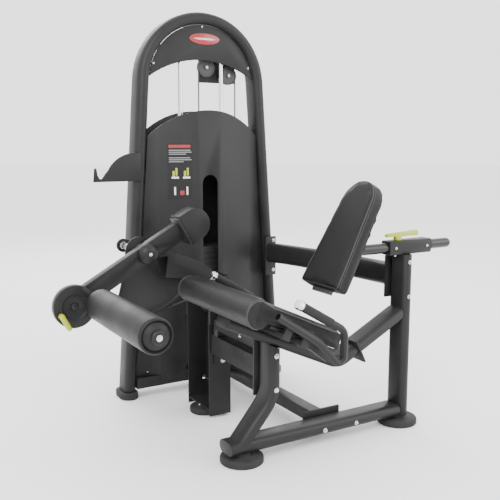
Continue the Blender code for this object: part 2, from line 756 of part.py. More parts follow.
def weight_stack():
    """The plates in two piles, parted at the selector pin, with the head plate and its stem."""
    resting_top = STACK_BOTTOM + RESTING_PLATES * PLATE_T
    lifted_low = resting_top + GAP
    head_low = lifted_low + LIFTED_PLATES * PLATE_T + GAP
    head_top = head_low + HEAD_T
    across = side_plane(TOWER_X)
    resting = plate("resting_plates", comb(STACK_BOTTOM, RESTING_PLATES), 2 * STACK_HALF, across, BLACK)
    lifted = plate("lifted_plates", comb(lifted_low, LIFTED_PLATES), 2 * STACK_HALF, across, BLACK)
    head = box("head_plate", (TOWER_X, TOWER_Y, (head_low + head_top) / 2),
               (2 * STACK_HALF, STACK_DEPTH, HEAD_T), BLACK)
    for side in (-1, 1):
        x = TOWER_X + side * ROD_HALF
        bore = rod(f"rod_bore_{side}", (x, ROD_Y, 0.1), (x, ROD_Y, 0.8), ROD_R + 0.002, BLACK, cutters)
        for pile in (resting, lifted, head):
            cut(pile, bore)
    stem_bore = rod("stem_bore", (TOWER_X, CABLE_Y, 0.1), (TOWER_X, CABLE_Y, 0.8), STEM_R + RUNNING, BLACK,
                    cutters)
    cut(resting, stem_bore)
    cut(lifted, stem_bore)
    cut(head, rod("head_bore", (TOWER_X, CABLE_Y, 0.1), (TOWER_X, CABLE_Y, 0.8), STEM_R + GAP, BLACK,
                  cutters))
    stem_top = head_top + STEM_RISE
    stem = rod("selector_stem", (TOWER_X, CABLE_Y, STACK_BOTTOM + 0.02), (TOWER_X, CABLE_Y, stem_top),
               STEM_R, STEEL, sides=16)
    cut(stem, rod("stem_cable_bore", (TOWER_X, CABLE_Y, STACK_BOTTOM + 0.15),
                  (TOWER_X, CABLE_Y, stem_top + 0.02),
                  CABLE_R + RUNNING, STEEL, cutters, sides=12))
    pin_z = lifted_low + PLATE_T / 2
    front_y = TOWER_Y - STACK_DEPTH / 2
    knob_y = front_y - 0.004
    pin_end = CABLE_Y - STEM_R - RUNNING
    pin = [(0, 0.028), (0.008, 0.0275), (0.0125, 0.022), (0.0125, 0.014), (0.006, 0.008), (0.006, 0.0),
           (PIN_R, 0.0), (PIN_R, knob_y - pin_end), (0, knob_y - pin_end)]
    knob = turned("selector_pin", pin, (TOWER_X, knob_y, pin_z), "-Y", CHROME, sides=16)
    cut(lifted, rod("pin_bore", (TOWER_X, front_y - 0.02, pin_z), (TOWER_X, CABLE_Y, pin_z),
                    PIN_R + RUNNING, BLACK, cutters, sides=16))
    rides = axis_at("stack_guide", (TOWER_X, TOWER_Y, STACK_BOTTOM))
    carry(rides, lifted, head, stem)
    carry(axis_at("pin_axis", (TOWER_X, knob_y, pin_z)), knob, parent=rides)
    return stem_top


# Cable and pulleys

def post_centre():
    return Vector((POST_CABLE_X - POST_PULLEY_R, POST_PULLEY_Z))


def turn_centre():
    """The level pulley that turns the cable from +Y to +X, in plan."""
    return Vector((POST_CABLE_X + TURN_PULLEY_R, CABLE_Y - TURN_PULLEY_R))


def riser_centre():
    """The upright pulley that turns the cable from +X to +Z, in front view."""
    return Vector((TOP_RIGHT_PULLEY[0] + TOP_PULLEY_R - RISER_PULLEY_R, CABLE_BOTTOM_Z + RISER_PULLEY_R))


def pulley(name, radius, centre, axis, before, behind):
    """A grooved wheel on its own stub axle; radius is that of the cable's middle on it."""
    rim, root, half = radius + 0.004, radius - CABLE_R - 0.001, PULLEY_T / 2
    web = 0.6 * half
    profile = [(0, half + before), (0.006, half + before), (0.006, half), (0.011, half), (0.011, web),
               (rim - 0.006, web), (rim - 0.004, half), (rim, half), (rim, 0.006), (root, 0.0037),
               (root, -0.0037), (rim, -0.006), (rim, -half), (rim - 0.004, -half), (rim - 0.006, -web),
               (0.011, -web), (0.011, -half), (0.006, -half), (0.006, -half - behind), (0, -half - behind)]
    wheel = turned(name, profile, centre, axis, NYLON, sides=28)
    carry(axis_at(name + "_axis", centre), wheel)
    return wheel


def pulleys():
    to_plate = PULLEY_BACK - PULLEY_T / 2 - GAP
    for name, at in (("top_pulley_left", TOP_LEFT_PULLEY), ("top_pulley_right", TOP_RIGHT_PULLEY)):
        pulley(name, TOP_PULLEY_R, (at[0], CABLE_Y, at[1]), "-Y", 0.004, to_plate)
    pulley("riser_pulley", RISER_PULLEY_R, in_space(riser_centre(), CABLE_Y), "-Y", 0.004, to_plate)
    turn = turn_centre()
    pulley("turn_pulley", TURN_PULLEY_R, (turn.x, turn.y, CABLE_BOTTOM_Z), "Z", 0.004,
           CABLE_BOTTOM_Z - PULLEY_T / 2 - TUBE_TOP - GAP)
    flange = CHANNEL_NEAR_Y + CHANNEL_T + GAP
    pulley("post_pulley", POST_PULLEY_R, in_space(post_centre(), CAM_Y), "-Y",
           CAM_Y - PULLEY_T / 2 - flange, 0.004)
    web = CHANNEL_BACK_X - CHANNEL_T - GAP
    pulley("low_pulley", POST_PULLEY_R, (POST_CABLE_X, CAM_Y + POST_PULLEY_R, CABLE_BOTTOM_Z + POST_PULLEY_R),
           "X", web - POST_CABLE_X - PULLEY_T / 2, 0.004)


def cable(stem_top):
    """One cable from the cam, down the pulley post, into the tower and over to the stack."""
    post = post_centre()
    run = post - PIVOT
    swing = math.asin((CAM_CABLE_R + POST_PULLEY_R) / run.length)
    heading = math.degrees(math.atan2(run.y, run.x) + swing)
    route = [in_space(point, CAM_Y) for point in arc(PIVOT, CAM_CABLE_R, CAM_ANCHOR, heading - 90, 6)]
    route += [in_space(point, CAM_Y) for point in arc(post, POST_PULLEY_R, 90 + heading, 0, 7)]
    low = Vector((CAM_Y + POST_PULLEY_R, CABLE_BOTTOM_Z + POST_PULLEY_R))
    route += [Vector((POST_CABLE_X, *point)) for point in arc(low, POST_PULLEY_R, 180, 270, 6)]
    route += [Vector((*point, CABLE_BOTTOM_Z)) for point in arc(turn_centre(), TURN_PULLEY_R, 180, 90, 6)]
    route += [in_space(point, CABLE_Y) for point in arc(riser_centre(), RISER_PULLEY_R, 270, 360, 6)]
    across = Vector(TOP_RIGHT_PULLEY) - Vector(TOP_LEFT_PULLEY)
    crown = 90 + math.degrees(math.atan2(across.y, across.x))
    route += [in_space(point, CABLE_Y) for point in arc(TOP_RIGHT_PULLEY, TOP_PULLEY_R, 0, crown, 5)]
    route += [in_space(point, CABLE_Y) for point in arc(TOP_LEFT_PULLEY, TOP_PULLEY_R, crown, 180, 7)]
    route.append(Vector((TOWER_X, CABLE_Y, stem_top - 0.006)))
    round_tube("lift_cable", route, CABLE_R, Matrix(), BLACK)


# Pulley post and pivot housing

def pulley_post():
    x0, x1, y0, y1, t = CHANNEL_FRONT_X, CHANNEL_BACK_X, CHANNEL_NEAR_Y, CHANNEL_FAR_Y, CHANNEL_T
    section = [(x0, y0), (x1, y0), (x1, y1), (x0, y1), (x0, y1 - t), (x1 - t, y1 - t), (x1 - t, y0 + t),
               (x0, y0 + t)]
    post = plate("pulley_post", section, CHANNEL_TOP - CHANNEL_LOW,
                 level_plane((CHANNEL_LOW + CHANNEL_TOP) / 2), PAINT)
    cut(post, rod("post_cable_cut", (POST_CABLE_X, y1 - 0.02, CABLE_BOTTOM_Z),
                  (POST_CABLE_X, y1 + 0.02, CABLE_BOTTOM_Z),
                  0.010, PAINT, cutters, sides=12))
    sole = box("post_sole", ((x0 + x1) / 2, (y0 + y1) / 2, SOLE_Z + SOLE_T / 2),
               (x1 - x0 - t, y1 - y0 - t, SOLE_T),
               PAINT, cutters)
    join(post, sole)
    foot_disc("post_foot", CHANNEL_FOOT_X, (y0 + y1) / 2, CHANNEL_FOOT_R, SOLE_Z - GAP)


def crown_path(inset):
    """The housing's upper edge, from beside the pivot round to the post's back, moved inwards."""
    corner = Vector((CHANNEL_BACK_X - inset, CROWN_CORNER - inset))
    start = Vector((CROWN_X, corner.y + (corner.x - CROWN_X) * math.tan(CROWN_SLOPE)))
    return rounded_path([start, corner, (corner.x, HOUSING_LOW)], [CROWN_R - inset], steps=12)


def pivot_housing():
    outline = crown_path(0)
    outline += rounded_path([(CHANNEL_FRONT_X, HOUSING_LOW), (CHANNEL_FRONT_X, 0.555), (-0.100, 0.580)],
                            [0.060], steps=8)
    outline.append(Vector((-0.090, 0.658)))
    outline += arc(PIVOT, HOUSING_NECK, 275, 85, 12)
    near_y = CHANNEL_NEAR_Y - GAP - HOUSING_T / 2
    far_y = CHANNEL_FAR_Y + GAP + HOUSING_T / 2
    housing = plate("pivot_housing", outline, HOUSING_T, upright_plane(near_y), PAINT)
    far = plate("housing_far_side", outline, HOUSING_T, upright_plane(far_y), PAINT, cutters)
    sheet = crown_path(0.0006) + list(reversed(crown_path(0.0045)))
    sheet = [point for point in sheet if point.y > CHANNEL_TOP + 0.004]
    roof = plate("housing_roof", sheet, far_y - near_y, upright_plane((near_y + far_y) / 2), PAINT, cutters)
    join(housing, roof, far)
    bore = rod("housing_bore", in_space(PIVOT, 0.3), in_space(PIVOT, 0.7), SHAFT_R + RUNNING, PAINT, cutters)
    cut(housing, bore)


def post_links():
    """The two short tubes, one above the other, from the seat frame to the pulley post."""
    near, far = TUBE_W / 2 + GAP, CHANNEL_NEAR_Y - GAP
    middle, length = (near + far) / 2, far - near - FLANGE_T
    lower = box("post_link", (UPRIGHT_X, middle, LOW_LINK_Z), (LOW_LINK_W, length, LOW_LINK_H), PAINT)
    upper_end = CHANNEL_NEAR_Y - GAP - HOUSING_T - 0.012
    upper = box("upper_post_link", (UPRIGHT_X, (near + upper_end) / 2, HIGH_LINK_Z),
                (HIGH_LINK_W, upper_end - near - FLANGE_T, HIGH_LINK_H),
                PAINT, cutters)
    frame_plate = box("link_plate_frame", (UPRIGHT_X, near + FLANGE_T / 2, LOW_LINK_Z),
                      (LINK_PLATE_W, FLANGE_T, FRAME_PLATE_H), PAINT, cutters)
    post_plate = box("link_plate_post", (UPRIGHT_X + 0.022, far - FLANGE_T / 2, LOW_LINK_Z - 0.006),
                     (LINK_PLATE_W, FLANGE_T, POST_PLATE_H), PAINT,
                     cutters)
    step = box("link_step", (UPRIGHT_X, upper_end - 0.015, (LOW_LINK_Z + HIGH_LINK_Z) / 2 + 0.008),
               (HIGH_LINK_W - 0.002, 0.030, 0.040), PAINT, cutters)
    join(lower, frame_plate, post_plate, upper, step)


def upper_link():
    """The curved tube from the tower's right leg to the rear post, with its end plates."""
    leg_y, post_y = TOWER_Y - LEG_W / 2 - GAP, TUBE_W / 2 + GAP
    start, bend, end = LINK_START, LINK_BEND, Vector((LINK_END_X, post_y + FLANGE_T / 2))
    path = []
    for step in range(15):
        t = step / 14
        path.append((1 - t) ** 2 * start + 2 * t * (1 - t) * bend + t ** 2 * end)
    link = flat_oval("upper_link_tube", TUBE_T, TUBE_W, level_plane(LINK_Z), PAINT, path=path)
    leg_plate = box("leg_plate", (LEG_PLATE_X, leg_y - 0.005, LINK_Z - 0.015), (0.054, 0.010, 0.175), PAINT,
                    cutters)
    post_plate = box("post_plate", (POST_X, post_y + FLANGE_T / 2, LINK_Z - 0.005),
                     (0.072, FLANGE_T, 0.160), PAINT, cutters)
    join(link, leg_plate, post_plate)


# Seat and handles

def seat():
    """The pad, rolled over at the front, on its pan."""
    bottom = SEAT_TOP - SEAT_T
    top_angle = math.degrees(math.asin(SEAT_TOP / ROLL_R))
    low_angle = 360 + math.degrees(math.asin(bottom / ROLL_R))
    side = arc((0, 0), ROLL_R, top_angle, low_angle, 20)
    corner = 0.016
    side += rounded_path([(0.08, bottom), (SEAT_LENGTH, bottom), (SEAT_LENGTH, SEAT_TOP), (0.08, SEAT_TOP)],
                         [0.004, corner], steps=4)
    outline = [seat_point(*point) for point in side]
    pad = plate("seat_pad", outline, 2 * SEAT_HALF, upright_plane(0), VINYL)
    round_edges(pad, 0.008, 3)
    start, end = 0.060, SEAT_LENGTH - 0.004
    middle = seat_point((start + end) / 2, bottom - GAP - PAN_T / 2)
    tilt = Matrix.Rotation(SEAT_PITCH, 4, "Y")
    pan = box("seat_pan", in_space(middle, 0), (end - start, 2 * PAN_HALF, PAN_T), BLACK, turn=tilt)
    under = bottom - GAP - PAN_T
    cheek_start = CROSS_BARS[1] + CROSS_BAR_W / 2 + 0.008
    cheek = [(cheek_start, under + 0.004), (cheek_start, under - 0.008), (end - 0.012, -0.062),
             (end - 0.002, -0.056), (end - 0.002, under + 0.004)]
    for side in (-1, 1):
        cheek_plate = plate(f"seat_cheek_{side}", [seat_point(*point) for point in cheek], CHEEK_T,
                         upright_plane(side * (CHEEK_Y - CHEEK_T / 2)), BLACK, cutters)
        join(pan, cheek_plate)


def handles():
    """A bent tube on each side of the seat, with a grip and a chrome end."""
    top, end = HANDLE_TOP, HANDLE_END
    along = (HANDLE_CORNERS[0] - top).normalized()
    path = rounded_path([top + along * (GRIP_CAP_T + GAP), *HANDLE_CORNERS, end], HANDLE_BENDS, steps=5)
    for word, side in (("left", -1), ("right", 1)):
        y = side * HANDLE_Y
        name = f"handle_{word}"
        bar = round_tube(name, [in_space(point, y) for point in path], HANDLE_R, Matrix(), BLACK,
                         resolution=2)
        bar = paint(to_mesh(bar), BLACK)
        outward = (end - HANDLE_CORNERS[-1]).normalized()
        cut(bar, rod(f"handle_mouth_{word}", in_space(end - outward * 0.02, y),
                     in_space(end + outward * 0.02, y),
                     HANDLE_R - 0.003, BLACK, cutters, sides=12))
        start = in_space(top + along * (GRIP_CAP_T + GAP), y)
        stop = in_space(top + along * GRIP_LENGTH, y)
        grip = rod(f"grip_{word}", start, stop, GRIP_R, RUBBER)
        cut(grip, rod(f"grip_bore_{word}", start - in_space(along, 0) * 0.01,
                      stop + in_space(along, 0) * 0.01,
                      HANDLE_R + GAP, RUBBER, cutters))
        cap = rod(f"grip_cap_{word}", in_space(top, y), in_space(top + along * GRIP_CAP_T, y),
                  GRIP_R + 0.002, CHROME)
        round_edges(cap, 0.0025)


# Backrest on its slide

def backrest():
    crown = BACK_TOP - BACK_CROWN_R
    taper = math.degrees(math.atan2(BACK_LOW_HALF - BACK_CROWN_R, crown - BACK_LOW))
    outline = rounded_path([(0, BACK_LOW), (BACK_LOW_HALF, BACK_LOW), (BACK_CROWN_R, crown)],
                           [BACK_CORNER_R])[:-1]
    outline += arc((0, crown), BACK_CROWN_R, taper, 180 - taper, 24)
    outline += rounded_path([(-BACK_CROWN_R, crown), (-BACK_LOW_HALF, BACK_LOW), (0, BACK_LOW)],
                            [BACK_CORNER_R])[1:-1]
    pad = plate("backrest_pad", outline, BACK_T, back_plane(BACK_T / 2), VINYL)
    round_edges(pad, 0.008, 3)
    behind = BACK_T + GAP + FLANGE_T / 2
    lean = Matrix.Rotation(BACK_LEAN, 4, "Y")
    mount = box("backrest_bracket", in_space(back_point((MOUNT_LOW + MOUNT_HIGH) / 2, behind), 0),
                (FLANGE_T, MOUNT_W, MOUNT_HIGH - MOUNT_LOW), BLACK, turn=lean)
    boss = rod("bracket_boss", (SLIDE_START_X - 0.080, 0, SLIDE_Z), (SLIDE_START_X - GAP, 0, SLIDE_Z), BOSS_R,
               BLACK, cutters)
    depth = 0.2
    pad_side = box("bracket_boss_cut", in_space(back_point((MOUNT_LOW + MOUNT_HIGH) / 2,
                                                           behind - depth / 2), 0),
                   (depth, 0.2, 0.4), BLACK, cutters, turn=lean)
    cut(boss, pad_side)
    join(mount, boss)
    bar = rod("slide_tube", (SLIDE_START_X, 0, SLIDE_Z), (SLIDE_END_X, 0, SLIDE_Z), SLIDE_R, CHROME)
    round_edges(bar, 0.002)
    carry(axis_at("backrest_axis", (SLEEVE_X0, 0, SLIDE_Z)), pad, mount, bar)


def slide_sleeve():
    length = SLEEVE_X1 - SLEEVE_X0
    sleeve = box("slide_sleeve", ((SLEEVE_X0 + SLEEVE_X1) / 2, 0, SLIDE_Z), (length, SLEEVE_W, SLEEVE_W),
                 PAINT,
                 bevel=0.004)
    cut(sleeve, rod("sleeve_bore", (SLEEVE_X0 - 0.05, 0, SLIDE_Z), (SLEEVE_X1 + 0.05, 0, SLIDE_Z),
                    SLIDE_R + RUNNING, PAINT, cutters))
    lip = 0.007
    ring = [(0.0245, lip), (0.0245, -lip), (SLIDE_R + RUNNING, -lip), (SLIDE_R + RUNNING, lip)]
    join(sleeve, turned("sleeve_bush", ring, (SLEEVE_X1, 0, SLIDE_Z), "X", BLACK, cutters))
    top = SLIDE_Z + SLEEVE_W / 2 + GAP
    rise = 0.013
    hub = [(0, rise + 0.020), (0.010, rise + 0.020), (0.013, rise + 0.016), (0.013, rise + 0.004),
           (0.016, rise),
           (0.016, 0), (0, 0)]
    boss = turned("lever_boss", hub, (LEVER_X, 0, top), "Z", BLACK, cutters)
    outline = arc((LEVER_X - 0.050, 0), 0.009, 90, 270, 6) + arc((LEVER_X + 0.085, 0), 0.012, -90, 90, 6)
    lever = plate("clamp_lever", outline, 0.018, level_plane(top + rise + 0.010), LIME)
    join(lever, boss)
    carry(axis_at("lever_axis", (LEVER_X, 0, top)), lever)


# Leg arm

def on_arm(along, above, y):
    return in_space(arm_point(along, above), y)


def leg_arm():
    """The arm, its cam and counterweight, which turn as one on the pivot shaft."""
    half = ARM_W / 2
    corners = [(0, half), (-ARM_FRONT, half), (-ARM_FRONT, -half), (ARM_REAR, -half), (ARM_REAR, half)]
    path = rounded_path([*corners, (0, half)], [0.026, 0.026, 0.002, 0.002], steps=5)[:-1]
    bar = plate("leg_arm", [arm_point(*point) for point in path], ARM_T, upright_plane(ARM_Y), BLACK)
    round_edges(bar, 0.005)
    near = ARM_Y - ARM_T / 2
    pitch = Matrix.Rotation(-ARM_PITCH, 4, "Y")
    flange_t = 0.010
    weight_y = ARM_Y + ARM_T / 2 - WEIGHT_T / 2
    flange = box("weight_flange", on_arm(ARM_REAR, 0, weight_y),
                 (flange_t, WEIGHT_T - 0.004, 2 * WEIGHT_HALF - 0.012),
                 BLACK, cutters, turn=pitch)
    chord = ARM_REAR + flange_t / 2 + GAP
    block = arc((chord + 0.042, 0), WEIGHT_HALF, -90, 90, 16) + [Vector((chord, WEIGHT_HALF)),
                                                                 Vector((chord, -WEIGHT_HALF))]
    weight = plate("counterweight", [arm_point(*point) for point in block], WEIGHT_T,
                   upright_plane(weight_y), BLACK,
                   bevel=0.004)
    disc_y = near - GAP - ADJUSTER_T
    axle = rod("adjuster_axle", on_arm(-ADJUSTER_REACH, 0, disc_y + 0.004),
               on_arm(-ADJUSTER_REACH, 0, ARM_Y), SHAFT_R,
               BLACK, cutters)
    shaft_bore = rod("arm_bore", in_space(PIVOT, 0.3), in_space(PIVOT, 0.4), SHAFT_R + GAP, BLACK, cutters)
    locks = []
    for step in LOCK_STEPS:
        at = arm_point(-ADJUSTER_REACH) + Matrix.Rotation(math.radians(step),
                                                          2) @ (LOCK - arm_point(-ADJUSTER_REACH))
        locks.append(rod(f"lock_bore_{step}", in_space(at, 0.3), in_space(at, near + 0.012), LOCK_R + RUNNING,
                         BLACK, cutters, sides=12))
    cut(join(bar, flange, axle), shaft_bore, *locks)
    dome = [(0, 0.027), (0.016, 0.026), (0.028, 0.021), (0.035, 0.012), (HUB_R, 0.004), (HUB_R, 0), (0, 0)]
    cap = turned("hub_cap", dome, in_space(PIVOT, near - GAP), "-Y", BLACK, sides=32)
    shaft = rod("pivot_shaft", in_space(PIVOT, near), in_space(PIVOT, CHANNEL_FAR_Y + 0.020), SHAFT_R, STEEL)
    carry(axis_at("leg_arm_axis", in_space(PIVOT, ARM_Y)), bar, weight, cap, shaft, leg_cam())


def leg_cam():
    """The grooved quadrant that the cable winds on to."""
    bore, boss, half = SHAFT_R + GAP, 0.028, CAM_T / 2
    root = CAM_CABLE_R - CABLE_R - 0.001
    rim = CAM_R - 0.016
    web = 0.003
    near = CAM_Y - CHANNEL_NEAR_Y - RUNNING
    profile = [(bore, near), (boss, near), (boss, web), (rim, web), (rim + 0.003, half), (CAM_R, half),
               (CAM_R, 0.005), (root, 0.0037), (root, -0.0037), (CAM_R, -0.005), (CAM_R, -half),
               (rim + 0.003, -half), (rim, -web), (boss, -web), (boss, -0.020), (bore, -0.020)]
    cam = turned("leg_cam", profile, in_space(PIVOT, CAM_Y), "-Y", PAINT, sides=96)
    start = math.radians(CAM_START)
    keep = [PIVOT + 1.3 * CAM_R * Vector((math.cos(start), math.sin(start))),
            Vector((CAM_EDGE_X, PIVOT.y - 1.3 * CAM_R)), Vector((CAM_EDGE_X, CAM_SHOULDER_Z))]
    keep += arc(PIVOT, 0.052, 15, 205, 12)
    return boolean(cam, plate("cam_outline", keep, 0.2, upright_plane(CAM_Y), PAINT, cutters), "INTERSECT")


def adjuster():
    """The disc at the arm's end that carries the roller, with its lock pin, shaft and roller."""
    centre = arm_point(-ADJUSTER_REACH)
    near = ARM_Y - ARM_T / 2 - GAP
    middle = near - ADJUSTER_T / 2
    bore, half = SHAFT_R + RUNNING, ADJUSTER_T / 2
    profile = [(0.040, half - 0.006), (0.044, half), (ADJUSTER_R - 0.003, half), (ADJUSTER_R, half - 0.003),
               (ADJUSTER_R, -half), (bore, -half), (bore, half - 0.006)]
    disc = turned("adjuster_disc", profile, in_space(centre, middle), "-Y", BLACK, sides=40)
    roller = centre + ROLLER_OFFSET
    lobe = rod("shaft_lobe", in_space(roller, near - ADJUSTER_T + 0.002), in_space(roller, near - 0.002),
               0.026,
               BLACK, cutters)
    lock_bore = rod("disc_lock_bore", in_space(LOCK, 0.25), in_space(LOCK, 0.36), LOCK_R + RUNNING, BLACK,
                    cutters, sides=12)
    shaft_end = near - ADJUSTER_T / 2
    socket = rod("shaft_socket", in_space(roller, 0.2), in_space(roller, shaft_end), ROLLER_SHAFT_R + GAP,
                 BLACK, cutters)
    cut(join(disc, lobe), lock_bore, socket)
    shaft = rod("roller_shaft", in_space(roller, ROLLER_NEAR_Y - 0.012), in_space(roller, shaft_end - GAP),
                ROLLER_SHAFT_R,
                CHROME)
    cap = turned("shaft_cap", [(0, 0.005), (0.019, 0.005), (0.022, 0.002), (0.022, -0.002), (0, -0.002)],
                 in_space(roller, ROLLER_NEAR_Y - 0.012), "-Y", BLACK, cutters)
    join(shaft, cap)
    length = ROLLER_FAR_Y - ROLLER_NEAR_Y
    inner, edge = ROLLER_SHAFT_R + RUNNING, 0.010
    foam = [(inner, 0), (ROLLER_R - edge, 0), (ROLLER_R - edge / 3, -edge / 3), (ROLLER_R, -edge),
            (ROLLER_R, edge - length), (ROLLER_R - edge / 3, edge / 3 - length), (ROLLER_R - edge, -length),
            (inner, -length)]
    pad = turned("shin_roller", foam, in_space(roller, ROLLER_NEAR_Y), "-Y", VINYL, sides=32)
    grip_y = near - ADJUSTER_T - 0.006 - LOCK_HANDLE_R
    pin = rod("lock_pin", in_space(LOCK, grip_y), in_space(LOCK, near + 0.009), LOCK_R, LIME, sides=12)
    handle = round_tube("lock_handle", [in_space(LOCK, grip_y), in_space(LOCK_HANDLE_END, grip_y)],
                        LOCK_HANDLE_R, Matrix(), LIME,
                        collection=cutters)
    join(pin, to_mesh(handle), rod("lock_collar", in_space(LOCK, grip_y), in_space(LOCK, grip_y + 0.013),
                                   0.0095,
                                   LIME, cutters, sides=16))
    swivel = axis_at("adjuster_axis", in_space(centre, middle))
    carry(swivel, disc, shaft, parent=bpy.data.objects["leg_arm_axis"])
    carry(axis_at("roller_axis", in_space(roller, ROLLER_NEAR_Y)), pad, parent=swivel)
    carry(axis_at("lock_axis", in_space(LOCK, grip_y)), pin, parent=swivel)


def towel_holder():
    """A hooked plate on the left tower leg."""
    low, y = 0.912, TOWER_Y - LEG_W / 2 - GAP - 0.003
    outline = [Vector((-0.040, low)), Vector((-0.040, 1.025))]
    outline += arc((-0.065, 0.895), 0.130, 90, 152, 8)
    outline += [Vector(point) for point in ((-0.190, 0.945), (-0.205, 0.924), (-0.214, 0.924),
                                            (-0.222, 0.940),
                                            (-0.226, 0.966), (-0.235, 0.966), (-0.240, low))]
    plate("towel_holder", outline, 0.006, upright_plane(y), PAINT)


base_frame()
cross_tube()
seat_frame()
tower_frame()
header()
guide_rods()
shrouds()
stem_top = weight_stack()
pulleys()
cable(stem_top)
pulley_post()
pivot_housing()
post_links()
upper_link()
seat()
handles()
backrest()
slide_sleeve()
leg_arm()
adjuster()
towel_holder()
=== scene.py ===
import json
import math

import bpy
from mathutils import Matrix, Vector


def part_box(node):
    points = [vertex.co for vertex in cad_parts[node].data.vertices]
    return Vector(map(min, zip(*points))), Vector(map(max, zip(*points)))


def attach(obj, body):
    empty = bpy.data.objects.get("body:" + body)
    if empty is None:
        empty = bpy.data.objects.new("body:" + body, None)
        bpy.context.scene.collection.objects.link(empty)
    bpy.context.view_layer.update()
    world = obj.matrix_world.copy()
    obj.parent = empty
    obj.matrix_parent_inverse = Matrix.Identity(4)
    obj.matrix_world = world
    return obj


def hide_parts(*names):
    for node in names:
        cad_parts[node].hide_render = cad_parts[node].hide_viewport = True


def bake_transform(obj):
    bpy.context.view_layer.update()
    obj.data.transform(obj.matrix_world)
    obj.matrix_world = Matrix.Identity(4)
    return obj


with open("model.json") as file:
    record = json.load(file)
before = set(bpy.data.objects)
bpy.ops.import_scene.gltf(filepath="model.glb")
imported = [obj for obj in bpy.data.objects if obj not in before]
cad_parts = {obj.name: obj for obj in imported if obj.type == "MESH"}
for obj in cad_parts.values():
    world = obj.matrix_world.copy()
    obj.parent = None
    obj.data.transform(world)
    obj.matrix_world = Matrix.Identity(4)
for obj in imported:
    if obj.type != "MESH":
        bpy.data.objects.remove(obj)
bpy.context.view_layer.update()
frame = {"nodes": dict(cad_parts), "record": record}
nodes = frame["nodes"]
bodyOf = {node: body for body, members in frame["record"]["behaviour"]["bodies"].items() for node in members}
print("frame loaded:", len(nodes), "nodes")


# shader groups, each built once and placed in the materials with its own values

def newGroup(name, inputs, outputs):
    group = bpy.data.node_groups.new(name, "ShaderNodeTree")
    for label, kind, value in inputs:
        socket = group.interface.new_socket(label, in_out="INPUT", socket_type=kind)
        socket.default_value = value
    for label, kind in outputs:
        group.interface.new_socket(label, in_out="OUTPUT", socket_type=kind)
    start = group.nodes.new("NodeGroupInput")
    end = group.nodes.new("NodeGroupOutput")
    start.location = (-900, 0)
    end.location = (700, 0)
    return group, start.outputs, end.inputs


def addNode(tree, kind, at, **settings):
    node = tree.nodes.new(kind)
    node.location = at
    for label, value in settings.items():
        if hasattr(node, label):
            setattr(node, label, value)
        else:
            node.inputs[label.replace("_", " ")].default_value = value
    return node


def connect(tree, source, target):
    tree.links.new(source, target)


def objectPosition(tree):
    return addNode(tree, "ShaderNodeTexCoord", (-1100, 200)).outputs["Object"]


def rangeNode(tree, at, low, high, toLow=0.0, toHigh=1.0):
    node = addNode(tree, "ShaderNodeMapRange", at)
    for socket, value in zip(list(node.inputs)[1:5], (low, high, toLow, toHigh)):
        socket.default_value = value
    return node


def makeGrainGroup():
    # two sizes of noise, given out separately, for powder coat, moulded plastic and rubber
    group, given, made = newGroup("fineGrain", [("Scale", "NodeSocketFloat", 300.0),
                                                ("Blotch Scale", "NodeSocketFloat", 9.0)],
                                  [("Height", "NodeSocketFloat"), ("Blotches", "NodeSocketFloat")])
    where = objectPosition(group)
    fine = addNode(group, "ShaderNodeTexNoise", (-600, 200), Detail=3.0, Roughness=0.6)
    broad = addNode(group, "ShaderNodeTexNoise", (-600, -150), Detail=4.0, Roughness=0.55)
    spread = rangeNode(group, (-200, -150), 0.35, 0.7)
    for node in (fine, broad):
        connect(group, where, node.inputs["Vector"])
    connect(group, given["Scale"], fine.inputs["Scale"])
    connect(group, given["Blotch Scale"], broad.inputs["Scale"])
    connect(group, broad.outputs["Fac"], spread.inputs[0])
    connect(group, fine.outputs["Fac"], made["Height"])
    connect(group, spread.outputs[0], made["Blotches"])
    return group


def makeDustGroup():
    # faces that look up catch a little dust, broken up by noise
    group, given, made = newGroup("settledDust", [("Amount", "NodeSocketFloat", 0.2)],
                                  [("Mask", "NodeSocketFloat")])
    facing = addNode(group, "ShaderNodeNewGeometry", (-900, -200))
    split = addNode(group, "ShaderNodeSeparateXYZ", (-700, -200))
    upward = rangeNode(group, (-500, -200), 0.55, 1.0)
    noise = addNode(group, "ShaderNodeTexNoise", (-700, 150), Scale=26.0, Detail=5.0, Roughness=0.65)
    patch = rangeNode(group, (-450, 150), 0.35, 0.75, 0.25, 1.0)
    both = addNode(group, "ShaderNodeMath", (-200, 0), operation="MULTIPLY")
    scaled = addNode(group, "ShaderNodeMath", (0, 0), operation="MULTIPLY")
    connect(group, objectPosition(group), noise.inputs["Vector"])
    connect(group, facing.outputs["Normal"], split.inputs[0])
    connect(group, split.outputs["Z"], upward.inputs[0])
    connect(group, noise.outputs["Fac"], patch.inputs[0])
    connect(group, upward.outputs[0], both.inputs[0])
    connect(group, patch.outputs[0], both.inputs[1])
    connect(group, both.outputs[0], scaled.inputs[0])
    connect(group, given["Amount"], scaled.inputs[1])
    connect(group, scaled.outputs[0], made["Mask"])
    return group


